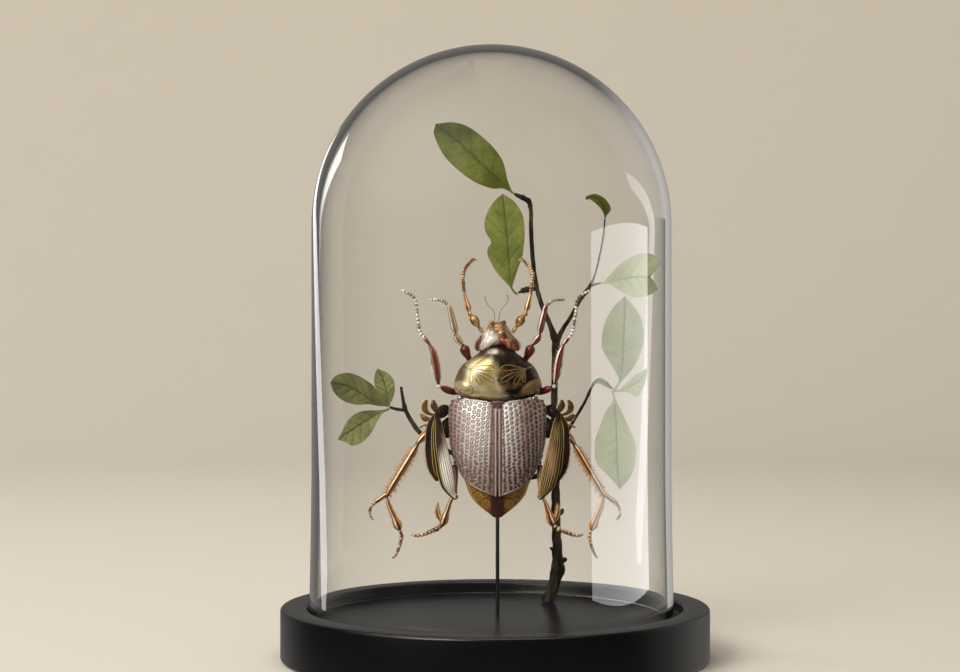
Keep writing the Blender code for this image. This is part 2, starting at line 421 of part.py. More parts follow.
# Each leaf: one margin, the midrib and the other margin in x and z, from the stalk to the tip, then the depth
# of the stalk, of the tip, and how far the blade bows back between them
LEAVES = {
    "leaf_top_left": (
        [(6.3, 156.6), (2.9, 158.0), (-1.5, 158.1), (-8.6, 161.2), (-16.7, 168.2), (-20.8, 176.0),
         (-20.4, 179.7)],
        [(6.3, 156.6), (3.2, 159.4), (-0.9, 163.2), (-6.7, 168.6), (-12.6, 174.0), (-17.8, 178.0),
         (-20.4, 179.7)],
        [(6.3, 156.6), (4.6, 160.8), (2.8, 167.6), (-1.8, 173.6), (-8.6, 178.9), (-14.6, 180.6),
         (-20.4, 179.9)],
        21.6, 15.0, 1.0),
    "leaf_below_tip": (
        [(7.8, 121.5), (6.4, 122.5), (5.2, 124.3), (0.9, 128.8), (-2.1, 134.3), (-2.3, 137.2),
         (-1.2, 139.4), (-3.3, 143.6), (-2.9, 148.5), (-0.2, 153.4), (2.9, 156.2)],
        [(7.8, 121.5), (6.6, 122.6), (5.7, 124.3), (5.4, 128.0), (5.2, 132.0), (4.9, 135.6), (4.7, 138.4),
         (4.3, 143.0), (3.7, 148.2), (3.2, 153.0), (2.9, 156.2)],
        [(7.8, 121.5), (6.8, 122.8), (6.3, 124.3), (7.9, 129.6), (9.6, 134.3), (10.1, 137.6),
         (10.4, 140.8), (10.3, 145.6), (9.4, 149.6), (6.7, 153.6), (2.9, 156.2)],
        23.4, 21.0, -2.0),
    "leaf_curled": (
        [(38.2, 147.7), (37.3, 149.6), (36.0, 151.3), (34.2, 152.7), (32.5, 153.7), (31.1, 153.4)],
        [(38.2, 147.7), (38.3, 150.2), (37.3, 152.2), (35.4, 153.8), (33.2, 154.6), (31.1, 153.7)],
        [(38.2, 147.7), (40.1, 150.4), (39.0, 152.9), (36.9, 154.7), (34.2, 155.5), (31.3, 154.6)],
        16.2, 11.0, 0.0),
    "leaf_notched": (
        [(37.5, 125.4), (39.7, 127.7), (42.4, 130.8), (46.4, 133.6), (50.4, 134.8), (53.9, 133.8),
         (55.3, 131.4)],
        [(37.5, 125.3), (39.8, 125.5), (42.4, 125.9), (45.4, 126.6), (48.2, 126.9), (50.2, 126.9),
         (51.8, 126.7)],
        [(37.5, 125.2), (39.8, 124.5), (42.0, 123.0), (45.0, 121.0), (48.6, 120.0), (52.4, 120.9),
         (54.8, 122.6)],
        16.3, -3.0, 0.0),
    "leaf_right_upright": (
        [(41.3, 88.8), (42.9, 91.6), (41.2, 95.6), (38.7, 99.5), (36.9, 103.0), (36.8, 107.3),
         (38.2, 112.8), (41.2, 117.4), (44.3, 120.4)],
        [(41.3, 88.8), (43.2, 91.6), (44.0, 95.6), (44.3, 99.8), (44.4, 104.0), (44.5, 108.4),
         (44.6, 113.0), (44.5, 117.0), (44.3, 120.4)],
        [(41.3, 88.8), (43.6, 91.5), (46.6, 94.6), (48.9, 98.0), (50.9, 102.8), (51.5, 107.6),
         (50.6, 112.4), (47.9, 116.8), (44.3, 120.4)],
        13.7, 9.0, 1.0),
    "leaf_right_small": (
        [(41.1, 88.4), (43.4, 89.0), (45.9, 91.6), (48.2, 93.9), (50.2, 94.9), (51.6, 96.0)],
        [(41.1, 88.3), (43.4, 88.6), (45.8, 89.6), (48.2, 91.0), (50.2, 93.0), (51.6, 96.0)],
        [(41.1, 88.2), (43.4, 88.0), (46.0, 87.8), (48.9, 86.5), (51.0, 90.4), (51.8, 94.4)],
        14.45, 5.0, 0.0),
    "leaf_right_stub": (
        [(35.2, 90.9), (36.1, 92.4), (37.8, 92.0), (39.1, 90.7), (40.2, 89.2)],
        [(35.2, 90.8), (36.2, 91.6), (37.8, 91.0), (39.0, 90.0), (40.2, 89.1)],
        [(35.2, 90.7), (36.2, 90.8), (37.8, 89.9), (38.9, 89.3), (40.2, 89.0)],
        16.6, 14.0, -0.6),
    "leaf_right_hanging": (
        [(40.6, 88.2), (41.1, 86.2), (40.6, 84.2), (38.3, 81.2), (36.4, 76.6), (34.5, 71.6), (34.3, 68.4),
         (34.9, 63.8), (38.4, 60.2), (42.7, 55.1)],
        [(40.7, 88.2), (41.3, 86.2), (41.6, 84.2), (41.8, 80.6), (42.0, 76.0), (42.1, 71.4), (42.1, 68.0),
         (42.1, 64.0), (42.3, 60.0), (42.7, 55.1)],
        [(40.8, 88.2), (41.5, 86.2), (42.3, 84.2), (44.3, 80.2), (46.5, 75.2), (48.4, 70.8), (48.6, 67.4),
         (48.1, 62.8), (46.2, 58.8), (42.7, 55.1)],
        15.2, 9.0, 1.5),
    "leaf_left_long": (
        [(-36.6, 83.0), (-39.6, 87.4), (-42.6, 90.7), (-46.2, 93.2), (-50.4, 94.5), (-54.4, 93.6),
         (-56.3, 91.3)],
        [(-36.6, 83.0), (-39.4, 83.7), (-43.0, 85.5), (-46.6, 88.0), (-50.4, 89.9), (-53.6, 90.8),
         (-56.3, 91.3)],
        [(-36.6, 83.0), (-39.6, 83.0), (-43.4, 83.7), (-47.8, 83.7), (-52.2, 85.2), (-55.2, 88.0),
         (-56.3, 91.3)],
        17.3, 6.0, 0.0),
    "leaf_left_upper": (
        [(-36.5, 83.2), (-39.2, 86.0), (-41.1, 89.2), (-41.7, 91.2), (-41.4, 94.2), (-40.5, 95.7)],
        [(-36.5, 83.2), (-37.0, 86.0), (-37.6, 88.8), (-38.4, 91.6), (-39.4, 94.0), (-40.5, 95.7)],
        [(-36.5, 83.2), (-35.1, 85.8), (-34.5, 88.9), (-35.0, 91.9), (-36.9, 94.2), (-40.5, 95.7)],
        18.2, 17.0, 0.5),
    "leaf_left_lower": (
        [(-36.6, 81.9), (-40.2, 81.5), (-43.4, 81.5), (-46.8, 81.0), (-49.6, 79.4), (-51.8, 76.4),
         (-53.0, 73.8), (-54.1, 71.8)],
        [(-36.6, 81.9), (-39.4, 80.8), (-42.2, 79.2), (-45.2, 77.4), (-48.0, 75.6), (-50.6, 74.0),
         (-52.6, 72.8), (-54.1, 71.8)],
        [(-36.6, 81.9), (-38.8, 80.4), (-40.3, 78.0), (-42.2, 74.4), (-45.2, 71.0), (-48.7, 69.7),
         (-51.6, 71.0), (-54.1, 71.8)],
        17.6, 11.0, 0.0),
}


def leaf_blade(first, rib, second, root_y, tip_y, bow):
    """A thin closed sheet over two margins and a midrib, hollow along the midrib."""
    shape = bmesh.new()
    rows = []
    last = len(rib) - 1
    for i, (a, middle, b) in enumerate(zip(first, rib, second)):
        share = i / last
        depth = root_y + (tip_y - root_y) * share + bow * math.sin(math.pi * share)
        row = []
        for margin, reach in ((a, 1.0), (a, 0.5), (middle, 0.0), (b, 0.5), (b, 1.0)):
            point = Vector(middle).lerp(Vector(margin), reach)
            forward = LEAF_CUP * (point - Vector(middle)).length * (2 - reach)
            row.append(Vector((point.x, depth - forward, point.y)))
        rows.append(row + [point + Vector((0, LEAF_THICKNESS, 0)) for point in reversed(row)])
    join_rings(shape, rows, ends=False)
    for row in (rows[0], rows[-1]):
        corners = [shape.verts.new(point) for point in row]
        for i in range(4):
            shape.faces.new((corners[i], corners[i + 1], corners[8 - i], corners[9 - i]))
    return shape


def build_leaves(green):
    for name, (first, rib, second, root_y, tip_y, bow) in LEAVES.items():
        add_object(name, leaf_blade(first, rib, second, root_y, tip_y, bow), green)


clear_scene()
build_base(make_material("black stained wood", (0.022, 0.02, 0.021), 0.45))
build_dome(make_material("clear glass", (1.0, 1.0, 1.0), 0.02, transmission=1.0))
build_pin(make_material("dark steel", (0.05, 0.05, 0.055), 0.3, metallic=1.0))
build_body(
    make_material("dark red chitin", (0.11, 0.04, 0.02), 0.3, metallic=0.3),
    make_material("gold chitin", (0.55, 0.42, 0.14), 0.25, metallic=0.9),
    make_material("silver pink chitin", (0.5, 0.4, 0.39), 0.35, metallic=0.6),
    make_material("copper silver chitin", (0.6, 0.36, 0.24), 0.2, metallic=0.9),
)
build_limbs(
    make_material("copper chitin", (0.5, 0.26, 0.12), 0.25, metallic=0.7),
    make_material("red brown chitin", (0.24, 0.05, 0.03), 0.25, metallic=0.2),
    make_material("black and gold chitin", (0.25, 0.17, 0.06), 0.3, metallic=0.5),
)
build_twig(make_material("bark", (0.035, 0.028, 0.02), 0.8))
build_leaves(make_material("green leaf", (0.1, 0.16, 0.035), 0.5))
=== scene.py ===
import math
import random
from contextlib import contextmanager

import bpy
import numpy as np
from mathutils import Matrix, Vector


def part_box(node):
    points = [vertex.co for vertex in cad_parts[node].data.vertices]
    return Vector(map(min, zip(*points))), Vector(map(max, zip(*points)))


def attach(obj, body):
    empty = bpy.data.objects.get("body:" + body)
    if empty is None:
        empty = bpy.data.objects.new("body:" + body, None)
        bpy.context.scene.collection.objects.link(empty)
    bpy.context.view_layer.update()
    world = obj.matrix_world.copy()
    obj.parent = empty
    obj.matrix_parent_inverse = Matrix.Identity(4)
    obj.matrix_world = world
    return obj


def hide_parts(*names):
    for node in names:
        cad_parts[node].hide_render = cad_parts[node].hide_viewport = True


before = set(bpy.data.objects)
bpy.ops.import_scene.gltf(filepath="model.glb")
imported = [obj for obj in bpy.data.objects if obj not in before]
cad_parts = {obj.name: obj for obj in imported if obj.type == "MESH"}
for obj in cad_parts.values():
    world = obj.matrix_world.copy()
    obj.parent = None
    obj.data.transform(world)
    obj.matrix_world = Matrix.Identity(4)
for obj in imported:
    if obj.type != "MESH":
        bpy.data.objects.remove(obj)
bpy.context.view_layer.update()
mm = 0.001
weldDistance = 0.002 * mm


# ---- small tools for modelling; lengths are in millimetres until a mesh is made

def pick(*pieces):
    # only these pieces are selected, and the first one is active
    for item in bpy.context.selected_objects:
        item.select_set(False)
    for piece in pieces:
        piece.select_set(True)
    bpy.context.view_layer.objects.active = pieces[0]


@contextmanager
def editing(piece, action="SELECT"):
    pick(piece)
    bpy.ops.object.mode_set(mode="EDIT")
    bpy.ops.mesh.select_all(action=action)
    yield
    bpy.ops.object.mode_set(mode="OBJECT")


def selectFaces(piece, wanted):
    # inside editing: picks the faces that answer to wanted(centre, normal)
    bpy.ops.object.mode_set(mode="OBJECT")
    for face in piece.data.polygons:
        face.select = wanted(face.center, face.normal)
    bpy.ops.object.mode_set(mode="EDIT")


def weld(piece):
    # closes seams and poles, and turns every face outwards
    with editing(piece):
        bpy.ops.mesh.remove_doubles(threshold=weldDistance)
        bpy.ops.mesh.normals_make_consistent(inside=False)


def withModifier(piece, kind, **settings):
    pick(piece)
    modifier = piece.modifiers.new(kind, kind)
    for name, value in settings.items():
        setattr(modifier, name, value)
    bpy.ops.object.modifier_apply(modifier=modifier.name)
    return piece


def smoothShaded(piece, degrees=None):
    pick(piece)
    if degrees is None:
        bpy.ops.object.shade_smooth()
    else:
        bpy.ops.object.shade_smooth_by_angle(angle=math.radians(degrees))
    return piece


def settled(piece):
    # the place goes into the mesh
    pick(piece)
    bpy.ops.object.transform_apply(location=True, rotation=True, scale=True)
    return piece


def joined(name, pieces):
    pick(*pieces)
    if len(pieces) > 1:
        bpy.ops.object.join()
    piece = bpy.context.object
    piece.name = piece.data.name = name
    return piece


def painted(piece, material):
    piece.data.materials.clear()
    piece.data.materials.append(material)
    return piece


def dress(piece, name, slotName, *nodes):
    # the finished piece stands for its nodes; slotName is not used
    piece.name = piece.data.name = name
    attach(piece, "root")
    if nodes:
        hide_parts(*nodes)
    return piece


class SmoothLine:
    # a smooth line through points of any kind, read by its length, or by places that are given
    def __init__(self, points, places=None, measured=3, closed=False):
        points = [np.atleast_1d(np.array(point, float)) for point in points]
        if closed:
            points = points[-2:] + points + points[:3]
        self.points = np.array(points)
        if places is None:
            steps = np.linalg.norm(np.diff(self.points[:, :measured], axis=0), axis=1)
            places = np.concatenate([[0], np.cumsum(steps)])
        self.places = np.array(places, float)
        self.start, self.end = self.places[[2, -3] if closed else [0, -1]]
        self.length = self.end - self.start
        gaps = np.diff(self.places)[:, None]
        rises = np.diff(self.points, axis=0) / gaps
        inner = (rises[1:] * gaps[:-1] + rises[:-1] * gaps[1:]) / (gaps[1:] + gaps[:-1])
        self.slopes = np.concatenate([rises[:1], inner, rises[-1:]])

    def at(self, place):
        place = np.clip(np.asarray(place, float), self.start, self.end)
        i = np.clip(np.searchsorted(self.places, place) - 1, 0, len(self.places) - 2)
        gap = (self.places[i + 1] - self.places[i])[..., None]
        t = (place[..., None] - self.places[i][..., None]) / gap
        return ((2 * t**3 - 3 * t**2 + 1) * self.points[i] + (t**3 - 2 * t**2 + t) * gap * self.slopes[i]
                + (3 * t**2 - 2 * t**3) * self.points[i + 1] + (t**3 - t**2) * gap * self.slopes[i + 1])

    def share(self, share):
        return self.at(self.start + np.asarray(share) * self.length)


def byHeight(rows):
    # a smooth value over a height, from rows of height and value
    heights, values = zip(*rows)
    line = SmoothLine(values, heights)
    return lambda height: line.at(height)[..., 0]


def between(low, high, value):
    # 0 below low, 1 above high, smooth between them
    t = np.clip((value - low) / (high - low), 0, 1)
    return t * t * (3 - 2 * t)


def hump(value, centre, width):
    return np.exp(-((value - centre) / width) ** 2)


def unit(vectors):
    return vectors / np.maximum(np.linalg.norm(vectors, axis=-1, keepdims=True), 1e-9)


def distanceTo(points, line):
    # how far each point is from a line of straight steps
    best = np.full(len(points), 1e9)
    for first, second in zip(line[:-1], line[1:]):
        step = second - first
        t = np.clip(((points - first) @ step) / max(step @ step, 1e-9), 0, 1)
        best = np.minimum(best, np.linalg.norm(points - first - t[:, None] * step, axis=1))
    return best


def gridPiece(name, across, along, place, closed=True):
    # a grid laid by place(u, v); its map keeps u and v, and the marks that place gives are kept on its points
    bpy.ops.mesh.primitive_grid_add(x_subdivisions=across, y_subdivisions=along, size=2)
    piece = bpy.context.object
    piece.name = piece.data.name = name
    corners = np.empty(len(piece.data.vertices) * 3, np.float32)
    piece.data.vertices.foreach_get("co", corners)
    u, v = (corners.reshape(-1, 3).T[:2].astype(float) + 1) / 2
    points, marks = place(u, v)
    piece.data.vertices.foreach_set("co", (points * mm).astype(np.float32).ravel())
    for mark, values in marks.items():
        piece.data.attributes.new(mark, "FLOAT", "POINT").data.foreach_set("value", values.astype(np.float32))
    if closed:
        weld(piece)
    return smoothShaded(piece)


leastRadius = 0.05
wayStep = 0.01  # the share of a limb over which its way is read


def waysAt(line, share):
    # the way along a limb, the way across it and the way into the depth
    ahead, behind = (line.share(np.clip(share + step, 0, 1))[..., :3] for step in (wayStep, -wayStep))
    along = unit(ahead - behind)
    across = unit(np.cross(along, (0, 1, 0)))
    return along, across, np.cross(across, along)


def tube(name, stations, sides=12, detail=3.0, flat=1.0, endRound=0.6, swell=None, ripple=None, marks=None):
    # a round-ended limb through stations of x, y, z and radius, with detail rings a millimetre; swell(s)
    # scales its radius along the way, ripple(u, s) round it too, and marks(u, s) gives what its paint reads
    line = SmoothLine(stations)
    capShare = 0.04  # how much of the grid each round end takes
    rings = max(int(line.length * detail), 8)

    def place(u, v):
        walk = v * (1 + 2 * capShare) - capShare
        cap = np.clip(np.maximum(-walk, walk - 1) / capShare, 0, 1) * math.pi / 2
        share = np.clip(walk, 0, 1)
        point = line.share(share)
        along, across, deep = waysAt(line, share)
        radius = np.maximum(point[:, 3], leastRadius)
        if swell:
            radius = radius * swell(share)
        if ripple:
            radius = radius * ripple(u, share)
        angle = 2 * math.pi * u
        reach = np.where(walk < 0.5, -1, 1) * endRound * radius * np.sin(cap)
        ring = np.cos(angle)[:, None] * across + flat * np.sin(angle)[:, None] * deep
        points = point[:, :3] + reach[:, None] * along + (radius * np.cos(cap))[:, None] * ring
        return points, marks(u, share) if marks else {}

    return gridPiece(name, sides, rings, place)


def onLimb(stations, share, lift=0.0, turn=0.0):
    # a point on a limb's skin, the way out of it and the way along it; turn is in degrees round the limb
    line = SmoothLine(stations)
    here = line.share(share)
    along, across, deep = waysAt(line, share)
    out = math.cos(math.radians(turn)) * across + math.sin(math.radians(turn)) * deep
    return Vector(here[:3] + out * (here[3] + lift)), Vector(out), Vector(along)


def copies(name, model, frames):
    # one piece of many copies of a small model, each with points of its own; the model itself goes
    corners = [vertex.co.copy() for vertex in model.data.vertices]
    faces = [tuple(face.vertices) for face in model.data.polygons]
    points, rows = [], []
    for turn in frames:
        first = len(points)
        points += [turn @ corner for corner in corners]
        rows += [tuple(first + i for i in face) for face in faces]
    bpy.data.objects.remove(model)
    mesh = bpy.data.meshes.new(name)
    mesh.from_pydata(points, [], rows)
    mesh.uv_layers.new(name="UVMap")
    piece = bpy.data.objects.new(name, mesh)
    bpy.context.scene.collection.objects.link(piece)
    return smoothShaded(piece)


def hairs(name, roots, length, radius):
    # fine cones standing at roots of place and way
    bpy.ops.mesh.primitive_cone_add(vertices=4, radius1=radius * mm, radius2=0, depth=length * mm,
                                    location=(0, 0, length * mm / 2))
    model = settled(bpy.context.object)
    frames = [Matrix.Translation(place * mm) @ way.to_track_quat("Z", "X").to_matrix().to_4x4()
              for place, way in roots]
    return copies(name, model, frames)


def bead(name, centre, radii, segments=24, rings=16):
    bpy.ops.mesh.primitive_uv_sphere_add(segments=segments, ring_count=rings, radius=1,
                                         location=[c * mm for c in centre], scale=[r * mm for r in radii])
    return smoothShaded(settled(bpy.context.object))


# ---- shader tools

class Wire:
    # an output socket; maths on it adds Math nodes
    def __init__(self, paint, socket):
        self.paint = paint
        self.socket = socket

    def maths(self, operation, *values):
        return self.paint.node("ShaderNodeMath", {"operation": operation}, dict(enumerate(values)))

    def __add__(self, other):
        return self.maths("ADD", self, other)

    def __sub__(self, other):
        return self.maths("SUBTRACT", self, other)

    def __rsub__(self, other):
        return self.maths("SUBTRACT", other, self)

    def __mul__(self, other):
        return self.maths("MULTIPLY", self, other)

    __radd__ = __add__
    __rmul__ = __mul__

    def stepped(self, low, high):
        # 0 at low, 1 at high, smooth between them
        return self.paint.node("ShaderNodeMapRange", {"interpolation_type": "SMOOTHSTEP"},
                               {"Value": self, "From Min": low, "From Max": high})


class Nodes:
    # adds nodes to one tree
    def __init__(self, tree):
        self.tree = tree

    def node(self, kind, settings=None, inputs=None, output=0):
        node = self.tree.nodes.new(kind)
        for name, value in (settings or {}).items():
            if name == "stops":
                self.setStops(node.color_ramp, value)
            else:
                setattr(node, name, value)
        for name, value in (inputs or {}).items():
            self.feed(node.inputs[name], value)
        return Wire(self, node.outputs[output])

    def setStops(self, ramp, stops):
        while len(ramp.elements) < len(stops):
            ramp.elements.new(1.0)
        for element, (position, colour) in zip(ramp.elements, stops):
            element.position = position
            element.color = (*colour, 1)

    def feed(self, socket, value):
        if isinstance(value, Wire):
            self.tree.links.new(value.socket, socket)
        elif socket.type == "RGBA" and len(value) == 3:
            socket.default_value = (*value, 1)
        else:
            socket.default_value = value

    def mixed(self, share, first, second):
        return self.node("ShaderNodeMix", {"data_type": "RGBA"}, {0: share, 6: first, 7: second}, output=2)

    def ramp(self, value, *stops):
        return self.node("ShaderNodeValToRGB", {"stops": stops}, {0: value})


class Paint(Nodes):
    # one material, with its Principled shader and its other nodes
    def __init__(self, name):
        self.material = bpy.data.materials.new(name)
        self.material.use_nodes = True
        super().__init__(self.material.node_tree)
        self.shader = self.tree.nodes["Principled BSDF"]

    def place(self, name="Object"):
        return self.node("ShaderNodeTexCoord", output=name)

    def part(self, vector, axis):
        return self.node("ShaderNodeSeparateXYZ", inputs={0: vector}, output=axis)

    def fromMidline(self):
        # how far right of the beetle's midline a point is, in millimetres
        return self.part(self.place(), 0) * (1 / mm) - beetle["x"]

    def height(self):
        return self.part(self.place(), 2) * (1 / mm)

    def behind(self):
        # 1 on the beetle's underside
        return (self.part(self.place(), 1) * (1 / mm) - beetle["edgeY"]).stepped(0.2, 2.0)

    def mark(self, name):
        return self.node("ShaderNodeAttribute", {"attribute_name": name}, output="Fac")

    def noise(self, scale, detail, vector=None):
        return self.node("ShaderNodeTexNoise",
                         inputs={"Vector": vector or self.place(), "Scale": scale, "Detail": detail})

    def cells(self, scale):
        return self.node("ShaderNodeTexVoronoi", inputs={"Vector": self.place(), "Scale": scale})

    def stretched(self, scale):
        return self.node("ShaderNodeMapping", inputs={"Vector": self.place(), "Scale": scale})

    def bumped(self, height, strength, depth):
        return self.node("ShaderNodeBump", inputs={"Height": height, "Strength": strength, "Distance": depth})

    def surface(self, **sockets):
        # socket names without their spaces, as values or wires
        known = {socket.name.replace(" ", "").lower(): socket for socket in self.shader.inputs}
        for name, value in sockets.items():
            self.feed(known[name.lower()], value)
        return self.material


# ---- camera, floor and light

view = {
    "place": (-0.005, -0.6435, 0.107),
    "lens": 72.1,
    "sensor": 36.0,
}
bpy.ops.object.camera_add(location=view["place"], rotation=(math.pi / 2, 0, 0))
camera = bpy.context.object
camera.name = "camera"
camera.data.lens = view["lens"]
camera.data.sensor_width = view["sensor"]
camera.data.clip_start = 0.01
bpy.context.scene.camera = camera

sweep = {
    "floorRadius": 1.0,
    "bend": 0.8,
    "wallHeight": 1.7,
    "colour": (0.69, 0.645, 0.56),
    "steps": 96,
    "flatSteps": 4,
    "bendSteps": 14,
}


def buildSweep():
    # a pale floor that runs up into a round wall on all sides, like a paper sweep
    radius, bend = sweep["floorRadius"], sweep["bend"]
    profile = [(radius * i / sweep["flatSteps"], 0) for i in range(sweep["flatSteps"] + 1)]
    for i in range(1, sweep["bendSteps"] + 1):
        turn = math.pi / 2 * i / sweep["bendSteps"]
        profile.append((radius + bend * math.sin(turn), bend * (1 - math.cos(turn))))
    profile.append((radius + bend, sweep["wallHeight"]))
    line = SmoothLine([(r, 0, z) for r, z in profile], range(len(profile)))

    def place(u, v):
        point = line.at(v * (len(profile) - 1))
        angle = 2 * math.pi * u
        return np.stack([point[:, 0] * np.cos(angle), point[:, 0] * np.sin(angle), point[:, 2]], 1) / mm, {}

    floor = gridPiece("floor", sweep["steps"], len(profile) - 1, place)
    with editing(floor):
        bpy.ops.mesh.normals_make_consistent(inside=True)
    painted(floor, Paint("pale floor").surface(baseColor=sweep["colour"], roughness=0.9))
    floor.visible_glossy = False


buildSweep()

lights = {
    "key": {"place": (-0.55, -0.75, 0.72), "aim": (0, 0, 0.1), "size": (0.5, 0.6), "power": 7.0,
            "colour": (1.0, 0.97, 0.93)},
    "soft": {"place": (-0.75, -0.67, 0.76), "aim": (0, 0, 0.08), "size": (1.0, 1.0), "power": 4.6,
             "colour": (1.0, 0.95, 0.88)},
    "top": {"place": (0.1, -0.15, 0.95), "aim": (0, 0, 0.1), "size": (0.6, 0.5), "power": 2.0,
            "colour": (1.0, 0.98, 0.96)},
    "wall": {"place": (-0.45, 0.2, 1.35), "aim": (-0.45, 1.8, 0.35), "size": (1.4, 0.4), "power": 13.3,
             "colour": (1.0, 0.97, 0.94)},
    "window": {"place": (0.75, -0.05, 0.065), "aim": (0, -0.05, 0.065), "size": (0.25, 0.7), "power": 2.6,
               "colour": (0.97, 0.99, 1.0)},
    "edge": {"place": (-0.61, 0.82, 0.12), "aim": (-0.06, 0, 0.12), "size": (0.9, 0.11), "power": 0.7,
             "colour": (1.0, 0.99, 0.97)},
}


def addLamp(name, place, aim, size, power, colour):
    turn = (Vector(aim) - Vector(place)).to_track_quat("-Z", "Z")
    bpy.ops.object.light_add(type="AREA", location=place, rotation=turn.to_euler())
    lamp = bpy.context.object
    lamp.name = name
    lamp.data.shape = "RECTANGLE"
    lamp.data.size, lamp.data.size_y = size
    lamp.data.energy = power
    lamp.data.color = colour
    return lamp


lamps = {name: addLamp(name, **facts) for name, facts in lights.items()}
lamps["window"].visible_transmission = False  # a mirror image alone, never seen straight through the glass

# a card behind the specimens that only mirror images meet, so that the glass behind doesn't show a lamp twice
flag = {
    "x": -5.0,
    "y": (29.0, 57.0),
    "z": (25.0, 185.0),
}


def buildFlag():
    (front, back), (low, high) = flag["y"], flag["z"]
    middle = (flag["x"] * mm, (front + back) / 2 * mm, (low + high) / 2 * mm)
    bpy.ops.mesh.primitive_plane_add(size=1, location=middle, rotation=(0, math.pi / 2, 0))
    card = bpy.context.object
    card.name = card.data.name = "flag"
    card.scale = ((high - low) * mm, (back - front) * mm, 1)
    settled(card)
    painted(card, Paint("black card").surface(baseColor=(0, 0, 0), roughness=1.0, specularIORLevel=0.0))
    for ray in ("camera", "diffuse", "transmission", "shadow"):
        setattr(card, "visible_" + ray, False)


buildFlag()

room = {
    "colour": (1.0, 0.95, 0.88),
    "dark": 0.05,  # how bright it is where no part below shines
    "parts": [  # the way to each bright part, where it begins and is full as a cosine, and its strength
        ((-0.62, -0.55, 0.56), (0.72, 1.0), 0.5),
        ((0.88, 0.42, 0.2), (0.75, 1.0), 0.45),
        ((0, 1, 0), (0.3, 0.8), 0.17),
        ((0, 0, -1), (0.0, 0.5), 0.2),
    ],
}


def buildRoom():
    # what shiny shells mirror: a dim room, bright in front up to the left, paler to the right, behind and
    # below
    world = bpy.data.worlds.new("room")
    bpy.context.scene.world = world
    world.use_nodes = True
    nodes = Nodes(world.node_tree)
    way = nodes.node("ShaderNodeTexCoord", output="Generated")

    strength = room["dark"]
    for direction, edge, power in room["parts"]:
        ahead = tuple(Vector(direction).normalized())
        facing = nodes.node("ShaderNodeVectorMath", {"operation": "DOT_PRODUCT"}, {0: way, 1: ahead}, "Value")
        strength = facing.stepped(*edge) * power + strength
    background = nodes.tree.nodes["Background"]
    nodes.feed(background.inputs["Color"], room["colour"])
    nodes.feed(background.inputs["Strength"], strength)


buildRoom()
bpy.context.scene.view_settings.view_transform = "Standard"
print("camera, floor and lights are set")


# ---- wooden base

base = {
    "edge": 1.1,
    "recessRadius": 62.6,
    "recessDepth": 4.0,
    "floorRings": (2.0, 30.0),  # widths of two rings of faces round the recess floor
    "vertices": 200,
    "grain": ((0.001, 0.001, 0.0014), (0.005, 0.005, 0.0065)),
    "dust": (0.05, 0.05, 0.055),
}
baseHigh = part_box("wooden_base")[1]
baseRadius = baseHigh.x
baseTop = baseHigh.z
recessFloor = baseTop - base["recessDepth"] * mm


def blackWood():
    paint = Paint("black wood")
    grain = paint.noise(90, 6, paint.stretched((0.12, 1, 1)))
    dust = paint.noise(1400, 2)
    cloud = paint.noise(22, 4)
    tone = paint.mixed(grain, *base["grain"])
    speckled = paint.mixed(dust.stepped(0.68, 0.8) * 0.3, tone, base["dust"])
    return paint.surface(baseColor=speckled, roughness=0.2 + 0.12 * cloud, specularIORLevel=0.38,
                         normal=paint.bumped(grain * 0.7 + dust * 0.3, 0.2, 0.0002))


def buildBase():
    bpy.ops.mesh.primitive_cylinder_add(vertices=base["vertices"], radius=baseRadius, depth=baseTop,
                                        location=(0, 0, baseTop / 2))
    piece = settled(bpy.context.object)
    with editing(piece, "DESELECT"):
        selectFaces(piece, lambda centre, normal: normal.z > 0.9)
        bpy.ops.mesh.inset(thickness=baseRadius - base["recessRadius"] * mm)
        bpy.ops.mesh.extrude_region_move(TRANSFORM_OT_translate={"value": (0, 0, -base["recessDepth"] * mm)})
        for width in base["floorRings"]:
            bpy.ops.mesh.inset(thickness=width * mm)
    withModifier(piece, "BEVEL", width=base["edge"] * mm, segments=5, limit_method="ANGLE",
                 angle_limit=math.radians(50))
    painted(piece, blackWood())
    return dress(smoothShaded(piece, 50), "turned_base", "black_wood", "wooden_base")


buildBase()
print("base is built")


# ---- glass dome

glass = {
    "centreX": -1.2,
    "radius": 60.0,
    "wall": 2.5,
    "apex": 204.0,
    "lip": 1.1,
    "straight": 100.0,
    # height and outward step of each ring from the straight part down to the foot
    "flare": [(60.0, 0.0), (45.0, 0.18), (30.0, 0.45), (14.5, 0.8), (13.3, 0.8)],
    "index": 1.48,
    "tint": (0.80, 0.80, 0.79),
    "density": 26.0,
}


def clearGlass():
    paint = Paint("clear glass")
    absorb = paint.node("ShaderNodeVolumeAbsorption",
                        inputs={"Color": glass["tint"], "Density": glass["density"]})
    paint.feed(paint.tree.nodes["Material Output"].inputs["Volume"], absorb)
    return paint.surface(baseColor=(1, 1, 1), roughness=0.0, transmissionWeight=1.0, ior=glass["index"])


